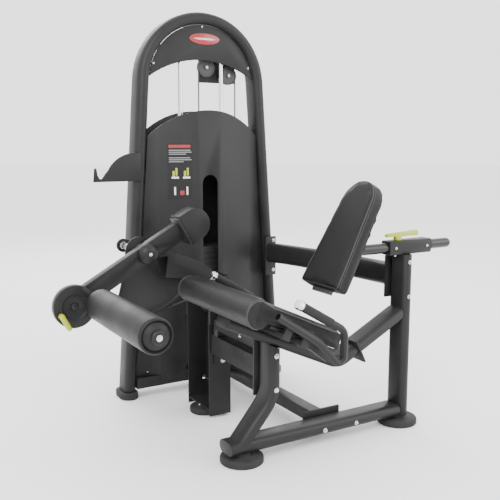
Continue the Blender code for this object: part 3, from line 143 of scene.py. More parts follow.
def makeScuffGroup():
    # thin scratches and rubbed spots: stretched noise kept only where it is highest
    group, given, made = newGroup("rubbedScuffs", [("Scale", "NodeSocketFloat", 40.0),
                                                   ("Coverage", "NodeSocketFloat", 0.3)],
                                  [("Mask", "NodeSocketFloat")])
    stretch = addNode(group, "ShaderNodeMapping", (-850, 100))
    stretch.inputs["Scale"].default_value = (1.0, 1.0, 7.0)
    stretch.inputs["Rotation"].default_value = (0.4, 0.2, 0.5)
    noise = addNode(group, "ShaderNodeTexNoise", (-600, 100), Detail=6.0, Roughness=0.7)
    edge = addNode(group, "ShaderNodeMath", (-600, -200), operation="SUBTRACT")
    edge.inputs[0].default_value = 0.78
    reach = addNode(group, "ShaderNodeMath", (-400, -200), operation="ADD")
    reach.inputs[1].default_value = 0.12
    keep = addNode(group, "ShaderNodeMapRange", (-200, 100))
    connect(group, objectPosition(group), stretch.inputs["Vector"])
    connect(group, stretch.outputs[0], noise.inputs["Vector"])
    connect(group, given["Scale"], noise.inputs["Scale"])
    connect(group, given["Coverage"], edge.inputs[1])
    connect(group, edge.outputs[0], reach.inputs[0])
    connect(group, noise.outputs["Fac"], keep.inputs[0])
    connect(group, edge.outputs[0], keep.inputs[1])
    connect(group, reach.outputs[0], keep.inputs[2])
    connect(group, keep.outputs[0], made["Mask"])
    return group


def makePebbleGroup():
    # leather grain: rounded cells with creases between them
    group, given, made = newGroup("pebbleGrain", [("Scale", "NodeSocketFloat", 420.0)],
                                  [("Height", "NodeSocketFloat"), ("Tone", "NodeSocketFloat")])
    where = objectPosition(group)
    warp = addNode(group, "ShaderNodeTexNoise", (-850, -200), Scale=60.0, Detail=2.0)
    bend = addNode(group, "ShaderNodeMix", (-650, 0), data_type="RGBA", blend_type="LINEAR_LIGHT")
    bend.inputs["Factor"].default_value = 0.006
    cells = addNode(group, "ShaderNodeTexVoronoi", (-400, 100), feature="SMOOTH_F1")
    cells.inputs["Smoothness"].default_value = 0.35
    lift = rangeNode(group, (-150, 100), 0.05, 0.6, 1.0, 0.0)
    broad = addNode(group, "ShaderNodeTexNoise", (-400, -300), Scale=11.0, Detail=5.0)
    tone = rangeNode(group, (-150, -300), 0.3, 0.72)
    connect(group, where, warp.inputs["Vector"])
    connect(group, where, bend.inputs[6])
    connect(group, warp.outputs["Color"], bend.inputs[7])
    connect(group, bend.outputs[2], cells.inputs["Vector"])
    connect(group, given["Scale"], cells.inputs["Scale"])
    connect(group, cells.outputs["Distance"], lift.inputs[0])
    connect(group, where, broad.inputs["Vector"])
    connect(group, broad.outputs["Fac"], tone.inputs[0])
    connect(group, lift.outputs[0], made["Height"])
    connect(group, tone.outputs[0], made["Tone"])
    return group


grainGroup = makeGrainGroup()
dustGroup = makeDustGroup()
scuffGroup = makeScuffGroup()
pebbleGroup = makePebbleGroup()


def placeGroup(tree, group, at, **values):
    node = addNode(tree, "ShaderNodeGroup", at, node_tree=group)
    for label, value in values.items():
        node.inputs[label.replace("_", " ")].default_value = value
    return node


def mixColours(tree, at, mask, under, over):
    # over lies on under where the mask is one; either can be a colour or a socket
    mix = addNode(tree, "ShaderNodeMix", at, data_type="RGBA")
    connect(tree, mask, mix.inputs["Factor"])
    for number, value in ((6, under), (7, over)):
        if isinstance(value, tuple):
            mix.inputs[number].default_value = (*value, 1.0)
        else:
            connect(tree, value, mix.inputs[number])
    return mix.outputs[2]


commonLook = {"blotchScale": 9.0, "scuffScale": 40.0, "dustColour": (0.30, 0.29, 0.27), "bumpDepth": 0.0006,
              "dustRoughening": 0.25, "vinylDust": (0.22, 0.215, 0.21), "vinylBumpDepth": 0.0007}


def hardFinish(name, look):
    # paint, metal, plastic and rubber: blotches in the tone, scuffs, dust, and a fine grain in the bump
    material = bpy.data.materials.new(name)
    material.use_nodes = True
    tree = material.node_tree
    shader = tree.nodes["Principled BSDF"]
    shader.inputs["Metallic"].default_value = look["metallic"]
    for label, value in look["shader"].items():
        shader.inputs[label].default_value = value
    grain = placeGroup(tree, grainGroup, (-900, 200), Scale=look["grainScale"],
                       Blotch_Scale=commonLook["blotchScale"])
    scuffs = placeGroup(tree, scuffGroup, (-900, -100), Scale=commonLook["scuffScale"],
                        Coverage=look["scuffs"])
    dust = placeGroup(tree, dustGroup, (-900, -300), Amount=look["dust"])
    colour = mixColours(tree, (-600, 300), grain.outputs["Blotches"], look["colour"], look["second"])
    colour = mixColours(tree, (-400, 250), scuffs.outputs["Mask"], colour, look["worn"])
    colour = mixColours(tree, (-200, 200), dust.outputs["Mask"], colour, commonLook["dustColour"])
    connect(tree, colour, shader.inputs["Base Color"])
    rough = rangeNode(tree, (-600, -50), 0.0, 1.0, *look["roughness"])
    rougher = addNode(tree, "ShaderNodeMath", (-300, -50), operation="MULTIPLY_ADD", use_clamp=True)
    rougher.inputs[1].default_value = commonLook["dustRoughening"]
    connect(tree, grain.outputs["Blotches"], rough.inputs[0])
    connect(tree, dust.outputs["Mask"], rougher.inputs[0])
    connect(tree, rough.outputs[0], rougher.inputs[2])
    connect(tree, rougher.outputs[0], shader.inputs["Roughness"])
    bump = addNode(tree, "ShaderNodeBump", (-300, -350), Strength=look["bump"],
                   Distance=commonLook["bumpDepth"])
    connect(tree, grain.outputs["Height"], bump.inputs["Height"])
    connect(tree, bump.outputs[0], shader.inputs["Normal"])
    return material


def vinylFinish(name, look):
    material = bpy.data.materials.new(name)
    material.use_nodes = True
    tree = material.node_tree
    shader = tree.nodes["Principled BSDF"]
    for label, value in look["shader"].items():
        shader.inputs[label].default_value = value
    pebble = placeGroup(tree, pebbleGroup, (-900, 200), Scale=look["grainScale"])
    dust = placeGroup(tree, dustGroup, (-900, -300), Amount=look["dust"])
    colour = mixColours(tree, (-600, 300), pebble.outputs["Tone"], look["colour"], look["second"])
    colour = mixColours(tree, (-400, 250), dust.outputs["Mask"], colour, commonLook["vinylDust"])
    connect(tree, colour, shader.inputs["Base Color"])
    rough = rangeNode(tree, (-600, -50), 0.0, 1.0, *look["roughness"])
    connect(tree, pebble.outputs["Tone"], rough.inputs[0])
    connect(tree, rough.outputs[0], shader.inputs["Roughness"])
    bump = addNode(tree, "ShaderNodeBump", (-300, -350), Strength=look["bump"],
                   Distance=commonLook["vinylBumpDepth"])
    connect(tree, pebble.outputs["Height"], bump.inputs["Height"])
    connect(tree, bump.outputs[0], shader.inputs["Normal"])
    return material


finishes = {
    "charcoalPaint": {"colour": (0.0115, 0.0116, 0.0120), "second": (0.0155, 0.0156, 0.0160),
                      "worn": (0.030, 0.030, 0.031),
                      "roughness": (0.38, 0.50), "metallic": 0.0, "grainScale": 900.0, "bump": 0.10,
                      "scuffs": 0.05, "dust": 0.02, "shader": {"Specular IOR Level": 0.22}},
    "blackPaint": {"colour": (0.0085, 0.0085, 0.0088), "second": (0.0115, 0.0115, 0.0120),
                   "worn": (0.024, 0.024, 0.024),
                   "roughness": (0.36, 0.50), "metallic": 0.0, "grainScale": 800.0, "bump": 0.10,
                   "scuffs": 0.06, "dust": 0.02, "shader": {"Specular IOR Level": 0.24}},
    "slideSteel": {"colour": (0.014, 0.014, 0.0145), "second": (0.020, 0.020, 0.0205),
                   "worn": (0.05, 0.05, 0.05),
                   "roughness": (0.18, 0.28), "metallic": 0.4, "grainScale": 700.0, "bump": 0.03,
                   "scuffs": 0.06, "dust": 0.02, "shader": {}},
    "cableSheath": {"colour": (0.030, 0.030, 0.030), "second": (0.045, 0.045, 0.045),
                    "worn": (0.10, 0.10, 0.10),
                    "roughness": (0.30, 0.42), "metallic": 0.0, "grainScale": 900.0, "bump": 0.10,
                    "scuffs": 0.08, "dust": 0.03, "shader": {}},
    "greyPrint": {"colour": (0.18, 0.18, 0.18), "second": (0.24, 0.24, 0.24), "worn": (0.10, 0.10, 0.10),
                  "roughness": (0.40, 0.50), "metallic": 0.0, "grainScale": 400.0, "bump": 0.03,
                  "scuffs": 0.06, "dust": 0.02, "shader": {}},
    "plateCasting": {"colour": (0.018, 0.018, 0.019), "second": (0.030, 0.030, 0.031),
                     "worn": (0.09, 0.09, 0.09),
                     "roughness": (0.42, 0.60), "metallic": 0.30, "grainScale": 420.0, "bump": 0.28,
                     "scuffs": 0.08, "dust": 0.06, "shader": {"Specular IOR Level": 0.3}},
    "blackRubber": {"colour": (0.013, 0.013, 0.013), "second": (0.022, 0.022, 0.022),
                    "worn": (0.05, 0.05, 0.05),
                    "roughness": (0.62, 0.80), "metallic": 0.0, "grainScale": 500.0, "bump": 0.30,
                    "scuffs": 0.05, "dust": 0.06, "shader": {"Specular IOR Level": 0.25}},
    "chromeSteel": {"colour": (0.74, 0.75, 0.76), "second": (0.84, 0.85, 0.86), "worn": (0.60, 0.60, 0.61),
                    "roughness": (0.07, 0.16), "metallic": 1.0, "grainScale": 600.0, "bump": 0.02,
                    "scuffs": 0.04, "dust": 0.02, "shader": {}},
    "zincSteel": {"colour": (0.58, 0.59, 0.60), "second": (0.70, 0.71, 0.72), "worn": (0.40, 0.40, 0.41),
                  "roughness": (0.20, 0.36), "metallic": 1.0, "grainScale": 700.0, "bump": 0.05,
                  "scuffs": 0.08, "dust": 0.04, "shader": {}},
    "limePlastic": {"colour": (0.30, 0.34, 0.0015), "second": (0.36, 0.40, 0.002), "worn": (0.42, 0.46, 0.02),
                    "roughness": (0.30, 0.42), "metallic": 0.0, "grainScale": 500.0, "bump": 0.08,
                    "scuffs": 0.04, "dust": 0.04, "shader": {"Coat Weight": 0.2, "Coat Roughness": 0.2}},
    "blackNylon": {"colour": (0.016, 0.016, 0.017), "second": (0.026, 0.026, 0.027),
                   "worn": (0.06, 0.06, 0.06),
                   "roughness": (0.40, 0.52), "metallic": 0.0, "grainScale": 600.0, "bump": 0.12,
                   "scuffs": 0.08, "dust": 0.08, "shader": {}},
    "redEnamel": {"colour": (0.26, 0.0025, 0.004), "second": (0.32, 0.004, 0.005), "worn": (0.36, 0.02, 0.02),
                  "roughness": (0.22, 0.34), "metallic": 0.0, "grainScale": 400.0, "bump": 0.03,
                  "scuffs": 0.03, "dust": 0.03, "shader": {"Coat Weight": 0.4, "Coat Roughness": 0.1}},
    "whitePrint": {"colour": (0.62, 0.62, 0.61), "second": (0.70, 0.70, 0.69), "worn": (0.45, 0.45, 0.44),
                   "roughness": (0.40, 0.50), "metallic": 0.0, "grainScale": 400.0, "bump": 0.03,
                   "scuffs": 0.06, "dust": 0.05, "shader": {}},
    # painted shade: near-black colour for the inside of the pin holes
    "boreShadow": {"colour": (0.004, 0.004, 0.004), "second": (0.008, 0.008, 0.008),
                   "worn": (0.02, 0.02, 0.02),
                   "roughness": (0.6, 0.8), "metallic": 0.0, "grainScale": 300.0, "bump": 0.05,
                   "scuffs": 0.02, "dust": 0.02, "shader": {}},
}
made = {name: hardFinish(name, look) for name, look in finishes.items()}
made["blackVinyl"] = vinylFinish("blackVinyl", {
    "colour": (0.0055, 0.0055, 0.0057), "second": (0.0085, 0.0085, 0.0088), "roughness": (0.40, 0.54),
                                                "grainScale": 520.0,
    "bump": 0.30, "dust": 0.01, "shader": {"Specular IOR Level": 0.22}})
made["pipingVinyl"] = vinylFinish("pipingVinyl", {
    "colour": (0.016, 0.016, 0.0165), "second": (0.021, 0.021, 0.0215), "roughness": (0.36, 0.48),
                                                  "grainScale": 700.0,
    "bump": 0.25, "dust": 0.05, "shader": {"Specular IOR Level": 0.5}})
print("materials:", len(made))


# modelling helpers, all with the ordinary operators

def deselectAll():
    if bpy.context.object and bpy.context.object.mode != "OBJECT":
        bpy.ops.object.mode_set(mode="OBJECT")
    bpy.ops.object.select_all(action="DESELECT")


def selectOnly(piece):
    deselectAll()
    piece.select_set(True)
    bpy.context.view_layer.objects.active = piece


def applyModifiers(piece):
    selectOnly(piece)
    for modifier in list(piece.modifiers):
        bpy.ops.object.modifier_apply(modifier=modifier.name)


def settle(piece, name, finish, body, smoothAngle=38):
    # place goes into the mesh, then the piece gets its name, finish and body
    selectOnly(piece)
    bpy.ops.object.transform_apply(location=True, rotation=True, scale=True)
    bpy.ops.object.shade_smooth_by_angle(angle=math.radians(smoothAngle))
    piece.name = name
    piece.data.name = name
    piece.data.materials.clear()
    piece.data.materials.append(made[finish])
    if body:
        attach(piece, body)
    return piece


def roundEdges(piece, width, segments=3, limit=40):
    bevel = piece.modifiers.new("edges", "BEVEL")
    bevel.width = width
    bevel.segments = segments
    bevel.limit_method = "ANGLE"
    bevel.angle_limit = math.radians(limit)
    applyModifiers(piece)


axisTurns = {"z": (0, 0, 0), "-z": (math.pi, 0, 0), "-y": (math.pi / 2, 0, 0), "y": (-math.pi / 2, 0, 0),
             "x": (0, math.pi / 2, 0), "-x": (0, -math.pi / 2, 0)}


def turnedPiece(rings, at, axis, sides=48):
    # a disc extruded ring by ring: each ring is (radius, height) along the axis
    deselectAll()
    bpy.ops.mesh.primitive_circle_add(vertices=sides, radius=rings[0][0], fill_type="NGON")
    piece = bpy.context.object
    bpy.ops.object.mode_set(mode="EDIT")
    bpy.ops.mesh.select_all(action="SELECT")
    radius, height = rings[0]
    if height:
        bpy.ops.transform.translate(value=(0, 0, height))
    for nextRadius, nextHeight in rings[1:]:
        bpy.ops.mesh.extrude_region_move(TRANSFORM_OT_translate={"value": (0, 0, nextHeight - height)})
        ratio = nextRadius / radius
        bpy.ops.transform.resize(value=(ratio, ratio, 1), center_override=(0, 0, nextHeight))
        radius, height = nextRadius, nextHeight
    bpy.ops.mesh.select_all(action="SELECT")
    bpy.ops.mesh.normals_make_consistent(inside=False)
    bpy.ops.object.mode_set(mode="OBJECT")
    if isinstance(axis, str):
        piece.rotation_euler = axisTurns[axis]
    else:
        piece.rotation_euler = Vector(axis).to_track_quat("Z", "Y").to_euler()
    piece.location = at
    return piece


def cadCopy(node):
    # the node's own triangles, merged, with the flat ones dissolved
    deselectAll()
    piece = bpy.data.objects.new(node, nodes[node].data.copy())
    bpy.context.scene.collection.objects.link(piece)
    selectOnly(piece)
    bpy.ops.object.mode_set(mode="EDIT")
    bpy.ops.mesh.select_all(action="SELECT")
    bpy.ops.mesh.remove_doubles(threshold=0.00002)
    bpy.ops.mesh.dissolve_limited(angle_limit=math.radians(1.0))
    bpy.ops.object.mode_set(mode="OBJECT")
    return piece


# camera and light first

camera = {"place": (-1.164, -2.023, 1.076), "heading": 30.6, "dip": 8.6, "lens": 52.416}
deselectAll()
bpy.ops.object.camera_add(location=camera["place"],
                          rotation=(math.radians(90 - camera["dip"]), 0, -math.radians(camera["heading"])))
bpy.context.object.data.lens = camera["lens"]
bpy.context.scene.camera = bpy.context.object

studio = [
    {"name": "keyLight", "place": (-2.6, -3.0, 3.6), "size": 2.6, "power": 200},
    {"name": "fillLight", "place": (3.6, -2.4, 2.4), "size": 3.0, "power": 90},
    {"name": "backLight", "place": (0.6, 4.2, 3.4), "size": 3.0, "power": 120},
]
aim = Vector((0.25, 0.4, 0.7))
for light in studio:
    bpy.ops.object.light_add(type="AREA", location=light["place"])
    lamp = bpy.context.object
    lamp.name = light["name"]
    lamp.data.size = light["size"]
    lamp.data.energy = light["power"]
    lamp.rotation_euler = (aim - lamp.location).to_track_quat("-Z", "Y").to_euler()
world = bpy.data.worlds.new("paleRoom")
bpy.context.scene.world = world
world.use_nodes = True
world.node_tree.nodes["Background"].inputs["Color"].default_value = (1.0, 1.0, 1.0, 1.0)
world.node_tree.nodes["Background"].inputs["Strength"].default_value = 2.4

deselectAll()
bpy.ops.mesh.primitive_circle_add(vertices=64, radius=30, fill_type="NGON", location=(0.25, 0.4, -0.0005))
floor = bpy.context.object
floor.name = "studioFloor"
floorPaint = bpy.data.materials.new("paleFloor")
floorPaint.use_nodes = True
floorShader = floorPaint.node_tree.nodes["Principled BSDF"]
floorShader.inputs["Base Color"].default_value = (0.92, 0.92, 0.92, 1.0)
floorShader.inputs["Roughness"].default_value = 0.85
floorShader.inputs["Specular IOR Level"].default_value = 0.1
floor.data.materials.append(floorPaint)
print("studio ready")


# CAD pieces that keep their shape: a merged copy with softened edges and its own finish

softenedPieces = {
    "tower_arch": ("charcoalPaint", 0.0012), "base_tube": ("charcoalPaint", 0.0010),
                  "rear_post": ("charcoalPaint", 0.0012),
    "base_cross_tube": ("charcoalPaint", 0.0015), "tower_bottom_bar": ("charcoalPaint", 0.0012),
    "header_cover": ("charcoalPaint", 0.0008), "header_crossbar": ("charcoalPaint", 0.0010),
    "front_shroud": ("charcoalPaint", 0.0006), "rear_shroud": ("charcoalPaint", 0.0008),
    "towel_holder": ("charcoalPaint", 0.0012), "pulley_post": ("charcoalPaint", 0.0008),
    "pivot_housing": ("charcoalPaint", 0.0012), "post_link": ("charcoalPaint", 0.0015),
    "upper_link_tube": ("charcoalPaint", 0.0012), "seat_beam": ("charcoalPaint", 0.0010),
    "seat_strut": ("charcoalPaint", 0.0012), "slide_sleeve": ("charcoalPaint", 0.0010),
    "leg_cam": ("charcoalPaint", 0.0006), "leg_arm": ("blackPaint", 0.0010),
                  "counterweight": ("blackPaint", 0.0015),
    "seat_pan": ("blackPaint", 0.0010), "backrest_bracket": ("blackPaint", 0.0012),
    "resting_plates": ("plateCasting", 0.0004), "lifted_plates": ("plateCasting", 0.0004),
                  "head_plate": ("plateCasting", 0.0016),
    "handle_left": ("blackPaint", 0.0), "handle_right": ("blackPaint", 0.0),
    "pivot_shaft": ("zincSteel", 0.0008), "roller_shaft": ("blackPaint", 0.0008),
                  "selector_stem": ("zincSteel", 0.0006),
    "adjuster_disc": ("blackPaint", 0.0010),
    "bumper_left": ("blackRubber", 0.0010), "bumper_right": ("blackRubber", 0.0010),
    "tower_foot_left": ("blackRubber", 0.0), "tower_foot_right": ("blackRubber", 0.0),
}
for node, (finish, width) in softenedPieces.items():
    piece = cadCopy(node)
    if width:
        roundEdges(piece, width, segments=2, limit=50)
    settle(piece, node + ".soft", finish, bodyOf[node])
    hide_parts(node)
keptNodes = {"lock_pin": "limePlastic"}
for name in nodes:
    if "pulley" in name and name != "pulley_post":
        keptNodes[name] = "blackNylon"
for node, finish in keptNodes.items():
    nodes[node].data.materials.clear()
    nodes[node].data.materials.append(made[finish])
print("frame pieces softened:", len(softenedPieces))


# round bars and rubber feet, turned finely

def roundBar(name, start, end, radius, finish, body, replaced):
    edge = 0.0015
    start, end = Vector(start), Vector(end)
    length = (end - start).length
    piece = turnedPiece([(radius - edge, 0), (radius, edge), (radius, length - edge),
                         (radius - edge, length)],
                        start, end - start, 64)
    settle(piece, name, finish, body)
    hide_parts(replaced)


for node in ("guide_rod_left", "guide_rod_right"):
    low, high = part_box(node)
    middle = (low + high) / 2
    roundBar(node + ".bar", (middle.x, middle.y, low.z), (middle.x, middle.y, high.z), (high.x - low.x) / 2,
             "chromeSteel",
             "frame", replaced=node)

low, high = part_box("slide_tube")
middle = (low + high) / 2
slideTube = turnedPiece([(0.014, 0), (0.019, 0.003), (0.019, 0.430), (0.0185, 0.434), (0.016, 0.442),
                         (0.010, high.x - low.x)],
                        (low.x, middle.y, middle.z), "x", 64)
settle(slideTube, "slideTube", "slideSteel", "backrest")
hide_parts("slide_tube")

rubberFoot = {"front_foot": 0.075, "rear_foot": 0.075, "post_foot": 0.061}
for node, radius in rubberFoot.items():
    low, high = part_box(node)
    middle = (low + high) / 2
    stem = 0.4 * radius
    rings = [(radius - 0.003, 0), (radius, 0.003), (radius, 0.017), (radius - 0.0015, 0.0205),
             (radius - 0.005, 0.0235),
             (radius - 0.010, 0.0245), (stem + 0.004, 0.0255), (stem + 0.001, 0.0275), (stem, high.z)]
    foot = turnedPiece(rings, (middle.x, middle.y, 0), "z", 96)
    settle(foot, node + ".disc", "blackRubber", "frame")
    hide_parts(node)
print("bars and feet turned")


# clamp lever: the upper part of its blade thins towards the back and drops towards the front

leverBlade = {"from": 0.45, "slope": 0.05, "thin": 0.45, "edge": 0.0015}
low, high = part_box("clamp_lever")
lever = cadCopy("clamp_lever")
roundEdges(lever, leverBlade["edge"], segments=2, limit=50)
bladeBottom = low.z + leverBlade["from"] * (high.z - low.z)
for vertex in lever.data.vertices:
    share = (vertex.co.x - low.x) / (high.x - low.x)
    if vertex.co.z > bladeBottom:
        thinned = (high.z - vertex.co.z) * (1 - leverBlade["thin"] * share)
        vertex.co.z = high.z - thinned - leverBlade["slope"] * (high.x - vertex.co.x)
settle(lever, "leverWedge", "limePlastic", "clamp_lever")
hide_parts("clamp_lever")


# hub cap, bolts and screws

low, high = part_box("hub_cap")
hubAt = (low + high) / 2
hub = turnedPiece([(0.0365, 0), (0.037, 0.002), (0.037, 0.004), (0.0362, 0.0075), (0.0335, 0.0125),
                   (0.029, 0.0175),
                   (0.023, 0.0215), (0.016, 0.0245), (0.011, 0.0256), (0.010, 0.0252)],
                  (hubAt.x, high.y, hubAt.z), "-y", 64)
settle(hub, "hubDome", "blackPaint", "leg_arm")
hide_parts("hub_cap")

boltHead = {"washerR": 0.0085, "washerT": 0.0012, "headR": 0.0062, "headT": 0.0052, "domeT": 0.0030}


def addBolt(name, at, axis, body, scale=1.0):
    # a washer with a domed cap nut on it
    b = {key: value * scale for key, value in boltHead.items()}
    top = b["washerT"] + b["headT"]
    rings = [(b["washerR"], 0), (b["washerR"], b["washerT"]), (b["headR"] * 1.06, b["washerT"] + 0.0001),
             (b["headR"] * 1.06, b["washerT"] + 0.5 * b["headT"]),
             (b["headR"] * 0.93, b["washerT"] + 0.55 * b["headT"]),
             (b["headR"] * 0.90, top), (b["headR"] * 0.75, top + 0.55 * b["domeT"]),
             (b["headR"] * 0.45, top + 0.9 * b["domeT"]),
             (b["headR"] * 0.12, top + b["domeT"])]
    bolt = turnedPiece(rings, at, axis, 24)
    settle(bolt, name, "zincSteel", body, smoothAngle=30)


boltPlaces = [
    ("postFlangeBoltHigh", (0.133, 0.3777, 0.348), "-y", "frame", 1.15),
              ("postFlangeBoltLow", (0.133, 0.3777, 0.231), "-y", "frame", 1.15),
    ("linkScrew", (0.086, 0.160, 0.386), "-x", "frame", 0.7),
    ("uprightBoltHigh", (0.109, -0.0450, 0.361), "-y", "frame", 1.0),
              ("uprightBoltLow", (0.109, -0.0450, 0.243), "-y", "frame", 1.0),
    ("rearPostBoltHigh", (0.691, -0.0450, 0.630), "-y", "frame", 0.9),
              ("rearPostBoltLow", (0.691, -0.0450, 0.500), "-y", "frame", 0.9),
    ("baseBoltFront", (0.315, -0.0450, 0.058), "-y", "frame", 1.0),
              ("baseBoltRear", (0.455, -0.0450, 0.058), "-y", "frame", 0.9),
    ("legPlateBoltLow", (0.590, 0.7347, 0.492), "-y", "frame", 0.9),
              ("legPlateBoltHigh", (0.590, 0.7347, 0.628), "-y", "frame", 0.9),
    ("solePlateBoltNear", (0.078, 0.470, 0.0334), "-x", "frame", 0.55),
              ("solePlateBoltFar", (0.078, 0.5720, 0.052), "-x", "frame", 0.55),
    ("sleeveScrewFront", (0.640, -0.0260, 0.683), "-y", "frame", 0.55),
              ("sleeveScrewRear", (0.792, -0.0260, 0.683), "-y", "frame", 0.55),
    ("sleeveScrewLow", (0.640, -0.0200, 0.6573), "-z", "frame", 0.6),
    ("hubBolt", (hubAt.x, hubAt.y - 0.0115, hubAt.z), "-y", "leg_arm", 0.75),
    ("headerScrewLeft", (0.034, 0.7665, 1.382), "-y", "frame", 0.45),
              ("headerScrewTop", (0.255, 0.7665, 1.540), "-y", "frame", 0.4),
    ("headerScrewRight", (0.476, 0.7665, 1.382), "-y", "frame", 0.45),
    ("shroudScrewLeft", (-0.020, 0.7680, 0.100), "-y", "frame", 0.4),
              ("shroudScrewRight", (0.530, 0.7680, 0.100), "-y", "frame", 0.4),
]
for number, name in enumerate(("top_pulley_left", "top_pulley_right", "riser_pulley", "post_pulley")):
    low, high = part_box(name)
    middle = (low + high) / 2
    boltPlaces.append((name + ".bolt", (middle.x, low.y, middle.z), "-y", name, 0.7))
for spot in boltPlaces:
    addBolt(*spot)
print("bolts:", len(boltPlaces))


# shin roller: a foam sleeve in vinyl with a domed near end

roller = {"radius": 0.054, "x": -0.38829, "z": 0.53538, "nearY": -0.205, "farY": 0.262, "boltY": -0.2220}
rollerLength = roller["farY"] - roller["nearY"]
rings = [(0.0150, 0.004), (0.034, 0.003), (0.043, 0.000), (0.0475, 0.0005), (0.0515, 0.003),
         (0.0535, 0.007), (roller["radius"], 0.013)]
for step in range(1, 12):
    rings.append((roller["radius"] + 0.0006 * math.sin(step * math.pi / 12),
                  0.013 + (rollerLength - 0.026) * step / 12))
rings += [(roller["radius"], rollerLength - 0.013), (0.0535, rollerLength - 0.007),
          (0.0515, rollerLength - 0.003),
          (0.0490, rollerLength - 0.0006), (0.0470, rollerLength - 0.0002), (0.0462, rollerLength - 0.0024),
          (0.0452, rollerLength - 0.0030), (0.0440, rollerLength - 0.0060), (0.0400, rollerLength - 0.0015),
          (0.0340, rollerLength + 0.0035), (0.0280, rollerLength + 0.0070), (0.0228, rollerLength + 0.0088)]
shinPad = turnedPiece(rings, (roller["x"], roller["farY"], roller["z"]), "-y", 96)
settle(shinPad, "shinRollerPad", "blackVinyl", "shin_roller")
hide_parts("shin_roller")
addBolt("rollerBolt", (roller["x"], roller["boltY"], roller["z"]), "-y", "adjuster", 1.1)
print("roller ready")


# the lock pin's capsule handle

lock = {"x": -0.508, "z": 0.500, "endX": -0.486, "endZ": 0.459, "radius": 0.009}
handleRun = Vector((lock["endX"] - lock["x"], 0, lock["endZ"] - lock["z"]))
reach = handleRun.length
r = lock["radius"]
capsule = [(0.25 * r, -0.97 * r), (0.60 * r, -0.80 * r), (0.87 * r, -0.5 * r), (r, 0),
           (1.03 * r, 0.5 * reach), (r, reach),
           (0.87 * r, reach + 0.5 * r), (0.60 * r, reach + 0.80 * r), (0.25 * r, reach + 0.97 * r)]
pull = turnedPiece(capsule, (lock["x"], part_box("lock_pin")[0].y + r, lock["z"]), handleRun, 40)
settle(pull, "lockPull", "limePlastic", "lock_pin")


# grips and their chrome ends

gripLine = {"top": (0.034, 0.594), "bend": (0.212, 0.489), "cap": 0.018, "length": 0.150, "clear": 0.0004}
along = (Vector(gripLine["bend"]) - Vector(gripLine["top"])).normalized()
alongSpace = Vector((along.x, 0, along.y))
for side, word in ((-1, "left"), (1, "right")):
    top = Vector((gripLine["top"][0], side * 0.275, gripLine["top"][1]))
    start = top + alongSpace * (gripLine["cap"] + gripLine["clear"])
    length = gripLine["length"] - gripLine["cap"] - gripLine["clear"]
    rings = [(0.0128, 0), (0.0142, 0.001)]
    ribs = 24
    for rib in range(ribs):
        base = 0.003 + (length - 0.006) * rib / ribs
        pitch = (length - 0.006) / ribs
        rings += [(0.0145, base + 0.1 * pitch), (0.0145, base + 0.6 * pitch), (0.0138, base + 0.72 * pitch),
                  (0.0138, base + 0.95 * pitch)]
    rings += [(0.0143, length - 0.002), (0.0130, length)]
    grip = turnedPiece(rings, start, alongSpace, 40)
    settle(grip, "grip." + word, "blackRubber", "frame", smoothAngle=60)
    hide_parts("grip_" + word)
    capRings = [(0.0120, 0), (0.0150, 0.0008), (0.0163, 0.0025), (0.0163, 0.0060), (0.0150, 0.0072),
                (0.0150, 0.0098),
                (0.0163, 0.0110), (0.0163, 0.0150), (0.0155, 0.0172), (0.0130, 0.0180)]
    cap = turnedPiece(capRings, top, alongSpace, 40)
    settle(cap, "gripEnd." + word, "chromeSteel", "frame")
    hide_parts("grip_cap_" + word)
print("grips ready")


# padded seat and backrest, blown up as cloth over a firm board

def swellPad(piece, pad, boardDistance):
    # boardDistance says how far a point is from the board under the pad
    piece.modifiers.new("even", "REMESH").mode = "VOXEL"
    piece.modifiers["even"].voxel_size = pad["voxel"]
    applyModifiers(piece)
    board = piece.vertex_groups.new(name="board")
    board.add([v.index for v in piece.data.vertices if boardDistance(v.co) < pad["boardEdge"]], 1.0,
              "REPLACE")
    rest = [v.co.copy() for v in piece.data.vertices]
    cloth = piece.modifiers.new("stuffing", "CLOTH")
    cloth.settings.use_pressure = True
    cloth.settings.uniform_pressure_force = pad["pressure"]
    cloth.settings.effector_weights.gravity = 0
    cloth.settings.vertex_group_mass = "board"
    for frameNumber in range(1, 21):
        bpy.context.scene.frame_set(frameNumber)
    applyModifiers(piece)
    for vertex, start in zip(piece.data.vertices, rest):
        moved = vertex.co - start
        if moved.length > pad["cap"]:
            vertex.co = start + moved * (pad["cap"] / moved.length)
    bpy.context.scene.frame_set(1)
    even = piece.modifiers.new("even", "SMOOTH")
    even.factor = 0.5
    even.iterations = 6
    finer = piece.modifiers.new("finer", "SUBSURF")
    finer.levels = 1
    finer.render_levels = 1
    applyModifiers(piece)


def shrinkPad(piece, about, amounts):
    selectOnly(piece)
    bpy.ops.object.mode_set(mode="EDIT")
    bpy.ops.mesh.select_all(action="SELECT")
    bpy.ops.transform.resize(value=amounts, center_override=about)
    bpy.ops.object.mode_set(mode="OBJECT")


def pipingOn(pad, name, points, radius, body, closed=True):
    # a sewn cord that follows the pad's surface
    curve = bpy.data.curves.new(name, "CURVE")
    curve.dimensions = "3D"
    curve.bevel_depth = radius
    curve.bevel_resolution = 3
    curve.use_fill_caps = True
    spline = curve.splines.new("POLY")
    spline.points.add(len(points) - 1)
    spline.use_cyclic_u = closed
    for target, point in zip(spline.points, points):
        found, place, normal, face = pad.closest_point_on_mesh(point)
        target.co = (*(place + normal * radius * 0.25), 1)
    cord = bpy.data.objects.new(name, curve)
    bpy.context.scene.collection.objects.link(cord)
    selectOnly(cord)
    bpy.ops.object.convert(target="MESH")
    settle(bpy.context.object, name, "pipingVinyl", body, smoothAngle=60)


